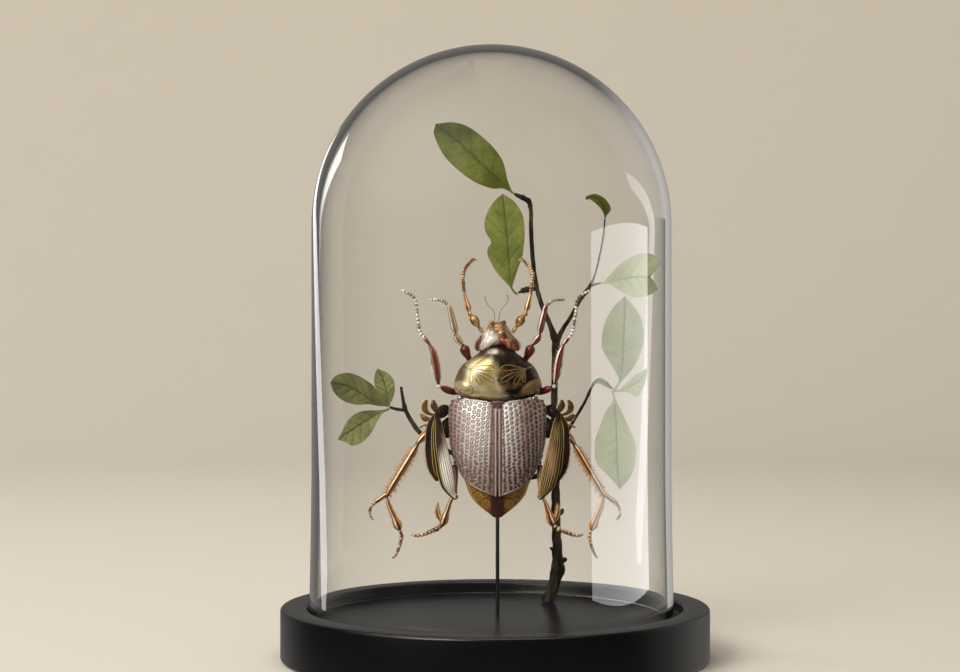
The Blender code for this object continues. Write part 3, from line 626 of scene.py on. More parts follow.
def buildDome():
    shoulder = (glass["apex"] - glass["radius"]) * mm
    axis = (glass["centreX"] * mm, 0, shoulder)
    bpy.ops.mesh.primitive_uv_sphere_add(segments=160, ring_count=120, radius=glass["radius"] * mm,
                                         location=axis)
    piece = settled(bpy.context.object)
    with editing(piece):
        bpy.ops.mesh.bisect(plane_co=axis, plane_no=(0, 0, 1), clear_inner=True)
        height, radius = shoulder / mm, glass["radius"]
        for stepHeight, out in [(glass["straight"], 0.0), *glass["flare"]]:
            wider = (glass["radius"] + out) / radius
            drop = {"value": (0, 0, (stepHeight - height) * mm)}
            bpy.ops.mesh.extrude_edges_move(TRANSFORM_OT_translate=drop)
            bpy.ops.transform.resize(value=(wider, wider, 1), center_override=axis)
            height, radius = stepHeight, glass["radius"] + out
    withModifier(piece, "SOLIDIFY", thickness=glass["wall"] * mm, offset=-1, use_even_offset=True)
    withModifier(piece, "BEVEL", width=glass["lip"] * mm, segments=5, limit_method="ANGLE",
                 angle_limit=math.radians(60))
    weld(piece)
    painted(smoothShaded(piece, 60), clearGlass())
    for ray in ("diffuse", "glossy", "shadow"):
        setattr(piece, "visible_" + ray, False)  # light and mirror images reach the beetle straight
    return dress(piece, "dome", "clear_glass", "glass_dome")


dome = buildDome()


def linkLight():
    # the window and the edge lamp light the glass alone, and the other lamps leave the glass out
    for name, lamp in lamps.items():
        lit = bpy.data.collections.new("lit by " + name)
        lit.objects.link(dome)
        if name not in ("window", "edge"):
            lit.collection_objects[0].light_linking.link_state = "EXCLUDE"
        lamp.light_linking.receiver_collection = lit


linkLight()
print("glass dome is built")


# ---- pin

pin = {
    "radius": 0.65,
    "x": 1.0,
    "y": 13.8,
    "bottom": 5.3,
    "top": 57.0,
    "edge": 0.15,
    "steel": ((0.05, 0.05, 0.055), (0.16, 0.155, 0.15)),
}


def darkSteel():
    paint = Paint("dark steel")
    streak = paint.noise(900, 3, paint.stretched((1, 1, 0.03)))
    tone = paint.mixed(streak, *pin["steel"])
    return paint.surface(baseColor=tone, metallic=1.0, roughness=0.22 + 0.2 * streak,
                         normal=paint.bumped(streak, 0.2, 0.00005))


def buildPin():
    length = pin["top"] - pin["bottom"]
    middle = (pin["x"] * mm, pin["y"] * mm, (pin["bottom"] + length / 2) * mm)
    bpy.ops.mesh.primitive_cylinder_add(vertices=32, radius=pin["radius"] * mm, depth=length * mm,
                                        location=middle)
    piece = settled(bpy.context.object)
    withModifier(piece, "BEVEL", width=pin["edge"] * mm, segments=3, limit_method="ANGLE",
                 angle_limit=math.radians(50))
    painted(smoothShaded(piece, 50), darkSteel())
    return dress(piece, "steel_pin", "dark_steel", "pin")


buildPin()


# ---- the beetle's back

beetle = {
    "x": pin["x"],  # the midline
    "edgeY": 14.0,  # the plane of the beetle's edge; its back stands out from there to the front
}
# half the trunk's width, how far its back stands out and how deep its belly is, each at a height
halfWidth = byHeight([(45.2, 2.0), (46.4, 3.6), (49, 6.9), (52, 9.6), (57, 11.7), (60, 12.9), (64.3, 14.9),
                      (69.5, 16.3), (75, 16.9), (81, 16.9), (84.6, 16.6)])
backHeight = byHeight([(45.2, 2.4), (48.9, 4.0), (52.5, 5.2), (58, 6.6), (64, 7.6), (72, 8.2), (80, 7.6),
                       (86, 6.0)])
bellyDepth = byHeight([(45.2, 1.4), (46.4, 2.6), (49, 4.2), (52, 5.2), (57, 6.2), (70, 7.2), (80, 7.0),
                       (86, 6.0)])


def fromMiddle(points):
    # points whose x is measured from the midline, in their own place
    return [(beetle["x"] + x, *others) for x, *others in points]


def twin(piece, name, reach=1.0):
    # the right side's piece, from the left side's one
    pick(piece)
    bpy.ops.object.duplicate()
    other = bpy.context.object
    with editing(other):
        bpy.ops.transform.resize(value=(-reach, 1, 1), center_override=(beetle["x"] * mm, 0, 0))
        bpy.ops.mesh.normals_make_consistent(inside=False)
    other.name = other.data.name = name
    return other


elytron = {
    "seam": -0.25,  # x of the straight edge along the midline
    "rows": 11,
    "firstRow": 0.87,  # how far the first row starts from the seam, in rows
    "firstRate": 1.35,  # how much closer the pits of the first row stand
    "pitGap": (1.74, 1.08),  # from pit to pit along a row, at the shoulder and at the tip
    "pitStray": (0.16, 0.5),  # how loosely they stand at the shoulder, and how much more so at the tip
    "pitDepth": 0.2,
    "pitRing": 0.45,  # radius and width of the ring that each pit draws
    "ringWidth": 0.15,
    "pitFloor": (0.16, 0.42),  # the radii between which its middle fades out
    "rim": (0.42, 0.26),  # the raised line beside the seam: its distance from it and its width
    "rimHeight": 0.40,
    "valleys": [(1.02, 0.2), (0.0, 0.14)],  # distance and width of the lines on both sides of the rim
    "valleyDepth": 0.15,
    "dip": (0.75, 1.1, 0.9),  # depth, distance from the seam and width of the hollow along it
    "crown": (0.35, 5.0, 3.0),
    "lip": (0.12, 0.15, 0.25),  # height, distance from the outer edges and width of the line along them
    "thickness": 0.8,
    "top": [(-0.25, 81.6), (-0.8, 82.3), (-2.2, 84.2), (-5.5, 85.0), (-9.5, 85.4), (-13.2, 85.4),
            (-15.8, 84.6)],
    "outer": [(-15.8, 84.6), (-16.6, 83.2), (-16.8, 79), (-16.7, 74.7), (-16.2, 69.5), (-14.7, 64.3)],
    "bottom": [(-0.25, 52.6), (-0.9, 52.7), (-2.1, 53.1), (-5.5, 54.4), (-9.0, 56.3), (-11.6, 58.4),
               (-14.7, 64.3)],
}


def elytronPatch(u, v):
    # x and z between the edges of a wing cover, and how wide and how long it is there
    top, bottom = (SmoothLine(elytron[edge], measured=2).share(u) for edge in ("top", "bottom"))
    outer = SmoothLine(elytron["outer"], measured=2).share(v)
    (a, b), (c, d) = ([np.array(elytron[edge][end], float) for end in (0, -1)] for edge in ("top", "bottom"))
    s, t = u[:, None], v[:, None]
    inner = a * (1 - t) + c * t
    flat = ((1 - t) * top + t * bottom + (1 - s) * inner + s * outer
            - (1 - t) * ((1 - s) * a + s * b) - t * ((1 - s) * c + s * d))
    return flat, np.hypot(*(outer - inner).T), np.hypot(*(top - bottom).T)


def luckOf(row, step, first, second, spread):
    # numbers from 0 to 1 without a pattern, the same for each row and step
    return np.modf(np.abs(np.sin(row * first + step * second) * spread))[0]


def pits(u, v, width, length, calm):
    # rings with a pale middle near the shoulder, closer and filled ones towards the tip
    lane = u * elytron["rows"] - elytron["firstRow"]
    row = np.floor(lane)
    wide, close = elytron["pitGap"]
    rate = 1 / wide + v * (1 / close - 1 / wide)
    rate = np.where(row == 0, elytron["firstRate"] * rate, rate)
    count = length * v * (rate + 1 / wide) / 2 + 0.5 * (row % 2)
    step = np.floor(count)
    luck = luckOf(row, step, 12.9898, 78.233, 43758.5453)
    luck2 = luckOf(row, step, 39.346, 11.135, 24634.6345)
    stray, more = elytron["pitStray"]
    loose = stray + more * v**3
    across = (lane - row - 0.5 + (luck - 0.5) * loose) * width / elytron["rows"]
    down = (count - step - 0.5 + (luck2 - 0.5) * loose) / rate
    size = (0.9 + 0.25 * luck2) * (1 - 0.25 * between(0.7, 0.95, u)) * (1 - 0.15 * (row == 0))
    away = np.hypot(across, down * 0.92) / size
    calm = calm * (row >= 0)
    full = np.clip(between(0.4, 0.8, v) + (row == 0) + 0.7 * between(0.6, 0.8, u), 0, 1)
    return {"ring": hump(away, elytron["pitRing"], elytron["ringWidth"]) * calm,
            "disc": (1 - between(*elytron["pitFloor"], away)) * calm, "full": full}


def elytronSkin(u, v):
    # u runs from the middle seam to the outer edge, v from the shoulder down to the tip
    flat, width, length = elytronPatch(u, v)
    x, z = flat.T
    fromSeam = elytron["seam"] - x
    fromEdge = np.minimum(np.minimum((1 - u) * 16, v * 33), (1 - v) * 24)  # about, in millimetres
    y = beetle["edgeY"] - backHeight(z) * np.sqrt(np.clip(1 - (x / halfWidth(z)) ** 2, 0, 1))
    # the seam lies in a valley between two swollen wing covers, with a raised rim on each side of it
    (dip, *dipAt), (crown, *crownAt), (lip, *lipAt) = elytron["dip"], elytron["crown"], elytron["lip"]
    y += dip * hump(fromSeam, *dipAt) * between(52.6, 58, z)
    y -= crown * hump(fromSeam, *crownAt)
    rim = hump(fromSeam, *elytron["rim"])
    valley = sum(hump(fromSeam, *line) for line in elytron["valleys"])
    y += elytron["valleyDepth"] * valley - elytron["rimHeight"] * rim
    y -= lip * hump(fromEdge, *lipAt)
    marks = pits(u, v, width, length, between(1.0, 1.4, fromSeam) * between(0.15, 0.5, fromEdge))
    y += elytron["pitDepth"] * np.maximum(marks["ring"], marks["disc"] * marks["full"])
    # the seam mark is painted pale as a highlight on the rim, the valley mark near black as shade in its
    # grooves
    return np.stack([x + beetle["x"], y, z], 1), {**marks, "seam": rim, "valley": valley}


silverTones = {
    "shell": ((0.48, 0.33, 0.28), (0.86, 0.69, 0.62)),
    "grain": (0.22, 0.13, 0.12),
    # the next tone is a painted highlight
    "lit": (0.97, 0.93, 0.91),
    "lower": (0.24, 0.14, 0.12),
    "outer": (0.20, 0.12, 0.105),
    # the next tone is painted shade for the right wing cover
    "dim": (0.13, 0.07, 0.055),
    # the right wing cover's pit tone is the darker one, as painted shade
    "pit": ((0.06, 0.024, 0.022), (0.03, 0.009, 0.008)),  # on the left and on the right wing cover
    # the next tone is a painted highlight on the raised rim
    "seam": (0.70, 0.56, 0.53),
    # the next tone is painted shade in the grooves beside the rim
    "valley": (0.02, 0.01, 0.01),
}


def silverPink():
    tones = silverTones
    paint = Paint("silver pink chitin")
    x, z = paint.fromMidline(), paint.height()
    cloud, grain = paint.noise(160, 3), paint.noise(900, 3)
    right = x.stepped(-1, 1)
    shell = paint.mixed(cloud, *tones["shell"])
    grained = paint.mixed(grain.stepped(0.42, 0.65) * 0.35, shell, tones["grain"])
    # painted highlight: a band on each wing cover, fading towards the tip, is painted near white as lit
    bright = (x.stepped(-14.5, -9.5) * (1 - x.stepped(-3.0, -1.8))
              + 0.9 * x.stepped(1.5, 2.4) * (1 - x.stepped(5.0, 8.5)))
    lit = paint.mixed(bright * z.stepped(54, 74) * 0.72, grained, tones["lit"])
    lower = paint.mixed((1 - z.stepped(52, 70)) * 0.5, lit, tones["lower"])
    outer = paint.mixed((x * x).stepped(150, 250) * 0.6, lower, tones["outer"])
    # painted shade: the outer part of the right wing cover is darkened, as turned from the light
    dim = paint.mixed(x.stepped(7, 10.5) * (1 - x.stepped(13, 15)) * 0.55, outer, tones["dim"])
    # painted shade: on the right wing cover the pits take the darker tone and their middles are filled in
    # more
    pit = paint.mixed(right, *tones["pit"])
    ringed = paint.mixed(paint.mark("ring") * 0.78, dim, pit)
    filled = paint.mixed(paint.mark("disc") * (0.25 + 0.5 * paint.mark("full") + 0.55 * right), ringed, pit)
    # painted highlight on the raised rim beside the seam, and painted shade in the grooves on both sides of
    # it
    rimHighlighted = paint.mixed(paint.mark("seam") * 0.8, filled, tones["seam"])
    grooveShaded = paint.mixed(paint.mark("valley") * 0.9, rimHighlighted, tones["valley"])
    return paint.surface(baseColor=grooveShaded, metallic=0.3, roughness=0.32 + 0.15 * cloud,
                         normal=paint.bumped(grain, 0.15, 0.0001), coatWeight=0.2, coatRoughness=0.15)


def buildElytra():
    left = gridPiece("left_elytron_shell", 156, 290, elytronSkin, closed=False)
    with editing(left):
        bpy.ops.mesh.normals_make_consistent(inside=False)
    if sum(face.normal.y for face in left.data.polygons) > 0:
        with editing(left):
            bpy.ops.mesh.flip_normals()
    withModifier(left, "SOLIDIFY", thickness=elytron["thickness"] * mm, offset=-1)
    painted(left, silverPink())
    right = twin(left, "right_elytron_shell")
    dress(left, "left_wing_cover", "silver_chitin", "left_elytron")
    dress(right, "right_wing_cover", "silver_chitin", "right_elytron")


shoulderBead = {
    "place": (-12.6, 10.7, 85.9),
    "radii": (1.2825, 0.95, 0.855),
    "tones": ((0.35, 0.36, 0.38), (0.9, 0.9, 0.92)),
}


def chrome():
    paint = Paint("bright shoulder bead")
    cloud = paint.noise(700, 3)
    tone = paint.mixed(cloud, *shoulderBead["tones"])
    return paint.surface(baseColor=tone, metallic=1.0, roughness=0.12 + 0.1 * cloud)


def buildShoulderBeads():
    x, y, z = shoulderBead["place"]
    ball = painted(bead("bead", (beetle["x"] + x, y, z), shoulderBead["radii"]), chrome())
    other = twin(ball, "right_bead")
    dress(ball, "left_shoulder_bead", "silver_chitin")
    dress(other, "right_shoulder_bead", "silver_chitin")


abdomen = {
    "ends": (45.2, 85.1),
    "poleShare": 0.03,  # how much of the grid closes each end
    "middle": [(45.2, 13.8), (56, 14.8), (86, 14.8)],  # a height and the depth of the widest line there
    "sideInset": 0.6,
    "backInset": 1.6,
    "plates": [50.5, 55.0, 60.0, 65.5, 71.5, 78.0],  # where the belly plates overlap
    "plateStep": 0.35,
    "rings": [(-6.6, 52.3), (-4.0, 49.7), (-8.7, 55.6), (-4.6, 53.6), (-7.2, 57.2)],
    "ringLines": [(1.35, 0.15, 1.0), (0.55, 0.14, 0.7)],  # radius, width and strength of a ring's two lines
    "ringHeight": 0.18,
    "side": ((0.15, 0.04, 0.004), (0.40, 0.15, 0.01)),
    "ring": (0.54, 0.38, 0.06),
    "band": ((0.03, 0.005, 0.004), (0.13, 0.03, 0.015)),
    # the next tone is painted shade where the wing covers lie over the abdomen
    "covered": (0.05, 0.017, 0.01),
    "belly": (0.09, 0.028, 0.014),
}


def chestnut():
    paint = Paint("dark red chitin")
    x, z = paint.fromMidline(), paint.height()
    cloud = paint.noise(260, 4)
    ringed = paint.mixed(paint.mark("ring"), paint.mixed(cloud, *abdomen["side"]), abdomen["ring"])
    band = (1 - (x * x).stepped(2.5, 9.0)) * (1 - z.stepped(53, 57))
    tip = paint.mixed(band, ringed, paint.mixed(cloud, *abdomen["band"]))
    # painted shade: darker where the wing covers lie over it
    covered = paint.mixed(z.stepped(56, 62), tip, abdomen["covered"])
    belly = paint.mixed(paint.behind(), covered, abdomen["belly"])
    return paint.surface(baseColor=belly, metallic=0.15, roughness=0.25 + 0.2 * cloud, coatWeight=0.5,
                         coatRoughness=0.12, normal=paint.bumped(paint.noise(900, 3), 0.25, 0.0001))


def buildAbdomen():
    low, high = abdomen["ends"]
    middle = byHeight(abdomen["middle"])
    pole = abdomen["poleShare"]

    def place(u, v):
        walk = np.clip((v - pole) / (1 - 2 * pole), 0, 1)
        close = np.sin(np.clip(np.minimum(v, 1 - v) / pole, 0, 1) * math.pi / 2)
        z = low + (high - low) * walk
        angle = 2 * math.pi * u
        half = halfWidth(z) - abdomen["sideInset"]
        isBack = np.sin(angle) > 0
        deep = np.where(isBack, backHeight(z) - abdomen["backInset"], bellyDepth(z))
        step = np.zeros_like(z)
        for edge in abdomen["plates"]:
            step += between(edge - 0.25, edge + 0.05, z) * (1 - between(edge + 0.05, edge + 4.0, z))
        deep = deep + np.where(isBack, 0, abdomen["plateStep"] * step * np.abs(np.sin(angle)))
        x = half * np.cos(angle) * close
        ring = hump(np.abs(x) / half, 0.93, 0.035)  # the line along the edge
        for ringX, ringZ in abdomen["rings"]:
            away = np.hypot(np.abs(x) + ringX, z - ringZ)
            for radius, width, strength in abdomen["ringLines"]:
                ring = np.maximum(ring, strength * hump(away, radius, width))
        ring = ring * isBack * (np.abs(x) > 2.2)
        y = middle(z) - (deep * np.sin(angle) + abdomen["ringHeight"] * ring) * close
        z = z + 0.5 * (1 - close) * np.where(v < 0.5, -1, 1)
        return np.stack([x + beetle["x"], y, z], 1), {"ring": ring}

    piece = gridPiece("abdomen", 240, 200, place)
    painted(piece, chestnut())
    return dress(piece, "ringed_abdomen", "dark_chitin", "abdomen")


def pillowSkin(form, relief):
    # a cushion-like form: v runs from the middle of the front over the rim to the middle of the back; relief
    # gives how far its skin stands out besides, and its marks
    line = SmoothLine(mirrored(form["half"]), measured=2, closed=True)
    middle = np.array(form["centre"], float)
    frontFull, backFull = form["fullness"]
    frontPart = 0.72

    def place(u, v):
        isFront = v <= frontPart
        walk = np.where(isFront, v / frontPart, (1 - v) / (1 - frontPart))
        share = np.sin(walk * math.pi / 2)
        flat = middle + (line.share(u) - middle) * share[:, None]
        height = np.where(isFront, -form["rise"] * np.sqrt(np.clip(1 - share**frontFull, 0, 1)),
                          form["depth"] * np.sqrt(np.clip(1 - share**backFull, 0, 1)))
        x, z = flat.T
        out, marks = relief(x, z, share, isFront)
        y = beetle["edgeY"] + height - np.where(isFront, 1, -1) * out
        return np.stack([x + beetle["x"], y, z], 1), marks

    return place


def mirrored(points):
    # a left half outline from top to bottom, carried on round the right half
    return [*points, *[(-x, z) for x, z in reversed(points) if x]]


pronotum = {
    "half": [(0, 104.4), (-2.0, 104.2), (-4.4, 103.0), (-6.6, 101.2), (-9.3, 99.2), (-12.3, 96.8),
             (-14.4, 92.9), (-15.2, 90.2), (-14.9, 88.2), (-12.5, 86.6), (-9.2, 85.4), (-5.0, 84.6),
             (0, 84.2)],
    "centre": (0, 93),
    "rise": 8.2,
    "depth": 6.6,
    "fullness": (3.0, 2.4),  # of the front and of the back: 2 is round, more is fuller
    "lineWidth": 0.14,
    "lineHeight": 0.07,
    "hub": (-9.4, 95.9),
    "petals": [  # the way each one points from the hub in degrees, its length and its half width
        (8, 8.0, 1.1),
        (-22, 9.4, 0.9),
        (-48, 6.4, 0.8),
        (-78, 4.6, 0.6),
        (165, 3.4, 0.12),
    ],
    "petalCurl": 0.10,
    "lobe": (-11.6, 89.6),
    "lobeRadii": (3.3, 2.2),
    "lobeTilt": 0.35,
    "lobeLines": [(1.0, 0.0), (0.55, 0.1)],  # where its outlines lie, in radii, and how much finer each is
    "lobeHeight": 0.6,
    "rim": (0.955, 0.985),
    "rimTop": 89,
}


def petalLine(angle, length, half):
    # a drop-shaped loop that starts and ends at the hub and curls a little downwards
    t = np.linspace(0, 1, 25)
    reach = np.sin(math.pi * t)
    along = reach * length
    side = half * np.sin(2 * math.pi * t) * reach**0.5 - pronotum["petalCurl"] * length * reach**2
    turn = math.radians(angle)
    hubX, hubZ = pronotum["hub"]
    return np.stack([hubX + along * math.cos(turn) - side * math.sin(turn),
                     hubZ + along * math.sin(turn) + side * math.cos(turn)], 1)


goldTones = {
    # gold is painted as the lit left half, brown as the shaded right half
    "gold": ((0.54, 0.42, 0.14), (0.94, 0.84, 0.54)),
    "brown": ((0.005, 0.002, 0.001), (0.26, 0.11, 0.018)),
    # the next two tones are painted shade
    "top": (0.03, 0.014, 0.006),
    "edge": (0.09, 0.05, 0.015),
    "lobe": ((0.05, 0.02, 0.004), (0.36, 0.20, 0.045)),
    # the next tone is a painted highlight
    "lip": (0.90, 0.84, 0.66),
    "line": ((0.10, 0.06, 0.015), (0.42, 0.31, 0.13)),  # on the gold and on the brown half
    # the next tone is painted shade
    "rim": (0.008, 0.004, 0.002),
    "belly": (0.07, 0.025, 0.012),
}


def goldShell():
    tones = goldTones
    paint = Paint("gold chitin")
    x, z = paint.fromMidline(), paint.height()
    cloud, patch = paint.noise(150, 4), paint.noise(330, 4)
    warp = cloud * 14 - 7
    # painted light and shade: the left half is painted as lit gold and the right half as shaded dark brown
    gold = paint.mixed(cloud.stepped(0.3, 0.7), *tones["gold"])
    brown = paint.mixed(patch.stepped(0.44, 0.72), *tones["brown"])
    shadeToRight = (x + warp + (z - 93) * 0.4).stepped(-1.0, 2.8)
    # painted shade: the top and the upper left edge are darkened
    topShade = (z + warp * 0.25 + x.stepped(-8, 0) * 2.4).stepped(97.6, 101.4)
    leftEdgeShade = (x * -1 - 8.8).stepped(0, 3.6) * z.stepped(89.5, 93)
    lobe = paint.mark("lobe")
    dark = paint.mixed(shadeToRight * (1 - lobe * 0.4), gold, brown)
    topShaded = paint.mixed(topShade * 0.9, dark, tones["top"])
    edged = paint.mixed(leftEdgeShade * 0.85, topShaded, tones["edge"])
    # on the right the raised lobe is painted golden brown, as catching some light on the shaded half
    lobed = paint.mixed(lobe * x.stepped(7, 12) * 0.85, edged, paint.mixed(patch, *tones["lobe"]))
    # painted highlight: a pale band along the front edge, just left of the middle
    lip = (z.stepped(100.4, 101.6) * (1 - z.stepped(102.2, 103.2))
           * x.stepped(-4.2, -1.5) * (1 - x.stepped(-1.2, 0.8)))
    lipHighlighted = paint.mixed(lip * 0.8, lobed, tones["lip"])
    # the engraved lines are painted dark on the lit gold half and pale on the shaded brown half
    lined = paint.mixed(paint.mark("line") * 0.8, lipHighlighted, paint.mixed(shadeToRight, *tones["line"]))
    # painted shade: a near-black line along the lower edge, where it meets the wing covers
    rimShaded = paint.mixed(paint.mark("rim") * 0.95, lined, tones["rim"])
    belly = paint.mixed(paint.behind(), rimShaded, tones["belly"])
    return paint.surface(baseColor=belly, metallic=0.5, roughness=0.22 + 0.16 * cloud, coatWeight=0.14,
                         coatRoughness=0.1, normal=paint.bumped(paint.noise(1200, 2), 0.08, 0.0001))


def buildPronotum():
    def relief(x, z, share, isFront):
        x = -np.abs(x)
        (lobeX, lobeZ), (radiusX, radiusZ) = pronotum["lobe"], pronotum["lobeRadii"]
        oval = np.hypot((x - lobeX) / radiusX, (z - lobeZ + pronotum["lobeTilt"] * (x - lobeX)) / radiusZ)
        distances = [distanceTo(np.stack([x, z], 1), petalLine(*petal)) for petal in pronotum["petals"]]
        distances += [np.abs(oval - radii) * 2.4 + finer for radii, finer in pronotum["lobeLines"]]
        away = 1 - between(0.93, 0.98, share)
        line = hump(np.min(distances, axis=0), 0, pronotum["lineWidth"]) * isFront * away
        lobe = (1 - between(0.85, 1.05, oval)) * isFront
        bulge = pronotum["lobeHeight"] * (1 - between(0.3, 1.05, oval)) * isFront
        # the rim mark is painted near black, as shade along the lower edge
        rim = between(*pronotum["rim"], share) * (z < pronotum["rimTop"])
        return pronotum["lineHeight"] * line + bulge * away, {"line": line, "lobe": lobe, "rim": rim}

    piece = gridPiece("pronotum", 360, 200, pillowSkin(pronotum, relief))
    painted(piece, goldShell())
    return dress(piece, "gold_pronotum", "gold_chitin", "pronotum")


head = {
    "half": [(0, 111.9), (-2.1, 111.7), (-3.9, 109.4), (-5.0, 107.4), (-5.6, 106.2), (-7.4, 103.9),
             (-7.1, 102.6), (-6.3, 101.8), (-4.2, 102.2), (-1.9, 103.5), (0, 103.7)],
    "centre": (0, 106),
    "rise": 5.4,
    "depth": 4.6,
    "fullness": (2.0, 2.4),
    "nubs": [(-1.9, 10.9, 111.6), (2.1, 10.9, 111.6)],
    "nubRadii": (0.85, 0.9, 0.7),
    # cheek and brow: place, widths and height
    "bumps": [(3.6, 104.6, 2.0, 2.2, 1.1), (2.2, 108.2, 1.1, 1.2, 0.7)],
    "grooveDepth": 0.5,
    "dimpleDepth": 0.3,
    "eye": [(-5.3, 10.8, 107.3, 0.25), (-6.1, 10.4, 106.0, 0.65), (-7.0, 10.6, 104.4, 0.75),
            (-7.2, 11.2, 102.9, 0.6), (-6.9, 11.8, 102.0, 0.25)],
    "feelers": [[(-0.9, 10.6, 112.3, 0.10), (-1.4, 10.6, 115.4, 0.09), (-3.75, 11, 118.2, 0.09),
                 (-4.4, 11, 120.4, 0.13)],
                [(0.4, 10.6, 112.3, 0.10), (1.0, 10.6, 115.4, 0.09), (3.3, 11, 118.6, 0.09),
                 (3.7, 11, 119.7, 0.1), (3.2, 11, 120.9, 0.13)]],
}


headTones = {
    # silver is the lit left half and reds the shaded right half; the palest reds are painted highlights
    "silver": ((0.76, 0.62, 0.50), (1.0, 0.97, 0.93)),
    "reds": [  # bands across the right half, outwards from the middle
        (0.20, (0.90, 0.82, 0.74)), (0.32, (0.50, 0.26, 0.14)), (0.38, (0.20, 0.025, 0.012)),
        (0.56, (0.26, 0.035, 0.015)), (0.66, (0.72, 0.38, 0.18)), (0.74, (0.26, 0.05, 0.02)),
        (0.90, (0.62, 0.30, 0.16)),
    ],
    "copper": (0.74, 0.34, 0.16),
    "front": ((0.08, 0.024, 0.007), (0.44, 0.25, 0.10)),
    # the next tone is painted shade
    "rim": (0.015, 0.005, 0.003),
    "belly": (0.08, 0.025, 0.012),
}


def silverCopper():
    tones = headTones
    paint = Paint("silver and copper chitin")
    x, z = paint.fromMidline(), paint.height()
    cloud = paint.noise(300, 4)
    warp = cloud * 3 - 1.5
    # painted light and shade: the left half is painted as lit silver, the right half as shaded copper red
    silver = paint.mixed(cloud, *tones["silver"])
    reds = paint.ramp((x + warp * 0.4) * 0.1 + 0.3, *tones["reds"])
    copper = paint.mixed(cloud.stepped(0.48, 0.62) * 0.25, reds, tones["copper"])
    litAndShadedHalves = paint.mixed((x + warp).stepped(-0.8, 1.0), silver, copper)
    front = paint.mixed(cloud.stepped(0.35, 0.6), *tones["front"])
    fronted = paint.mixed((z + warp * 0.8 + x * 0.5).stepped(106.2, 108.6), litAndShadedHalves, front)
    # painted shade: a near-black line along the lower edge, where the head meets the pronotum
    rimShaded = paint.mixed(paint.mark("rim") * 0.95, fronted, tones["rim"])
    belly = paint.mixed(paint.behind(), rimShaded, tones["belly"])
    return paint.surface(baseColor=belly, metallic=0.25, roughness=0.2 + 0.14 * cloud, coatWeight=0.3,
                         coatRoughness=0.1, normal=paint.bumped(paint.noise(1100, 3), 0.15, 0.0001))


redBands = {  # where each colour stands round a limb, from its edge at 0.5 over its front to its edge at 1.0
    # the palest tones in each list are painted highlights; gilded, for the left front leg, is painted as lit
    "left": [(0.52, (0.02, 0.004, 0.003)), (0.57, (0.14, 0.012, 0.008)), (0.63, (0.74, 0.38, 0.15)),
             (0.66, (0.13, 0.012, 0.008)), (0.76, (0.20, 0.02, 0.012)), (0.84, (0.12, 0.01, 0.007)),
             (0.88, (0.72, 0.50, 0.38)), (0.92, (0.04, 0.008, 0.006))],
    "right": [(0.52, (0.03, 0.005, 0.004)), (0.60, (0.17, 0.018, 0.01)), (0.655, (0.20, 0.03, 0.012)),
              (0.68, (0.50, 0.20, 0.05)), (0.70, (0.16, 0.015, 0.01)), (0.80, (0.14, 0.012, 0.008)),
              (0.825, (0.88, 0.80, 0.74)), (0.90, (0.90, 0.84, 0.78)), (0.925, (0.10, 0.02, 0.015))],
    "gilded": [(0.52, (0.02, 0.008, 0.004)), (0.57, (0.34, 0.20, 0.06)), (0.66, (0.80, 0.68, 0.48)),
               (0.72, (0.24, 0.13, 0.04)), (0.80, (0.30, 0.19, 0.07)), (0.85, (0.92, 0.88, 0.80)),
               (0.90, (0.50, 0.36, 0.18)), (0.93, (0.02, 0.008, 0.004))],
}
redTones = {
    "plain": (0.15, 0.012, 0.008),
    "cloud": (0.08, 0.007, 0.005),
    "bead": ((0.34, 0.22, 0.13), (0.92, 0.88, 0.80)),
    "joint": (0.02, 0.006, 0.004),
}


def redShell():
    # glossy dark red with thin streaks, the pale ones painted highlights, and pale beaded feet; the left
    # front leg is painted gilded as lit
    tones = redTones
    paint = Paint("red chitin")
    cloud = paint.noise(500, 3)
    side = paint.fromMidline().stepped(-1, 1)
    # the way round a limb is turned on the right, so that a limb's left edge has the same value on both sides
    # so that the painted highlights keep to each limb's left edge on both sides
    turn = paint.part(paint.place("UV"), 0) * (1 - 2 * side) + 1.5 * side
    left, right, gilded = (paint.ramp(turn, *redBands[name]) for name in ("left", "right", "gilded"))
    # each side's limbs get their own bands, with painted highlights where the light falls on them
    reds = paint.mixed(side, left, right)
    bands = paint.mixed(paint.mark("gilded") * (1 - side), reds, gilded)
    plain = paint.mixed(paint.mark("plain") * turn.stepped(0.56, 0.62), bands, tones["plain"])
    clouded = paint.mixed(cloud.stepped(0.45, 0.7) * 0.35, plain, tones["cloud"])
    beaded = paint.mixed(cloud.stepped(0.40, 0.56), *tones["bead"])
    tipped = paint.mixed(paint.mark("pale"), clouded, beaded)
    jointed = paint.mixed(paint.mark("joint") * 0.9, tipped, tones["joint"])
    return paint.surface(baseColor=jointed, metallic=0.15, roughness=0.26 + 0.12 * cloud, coatWeight=0.22,
                         coatRoughness=0.08, normal=paint.bumped(paint.noise(1500, 2), 0.15, 0.0001))


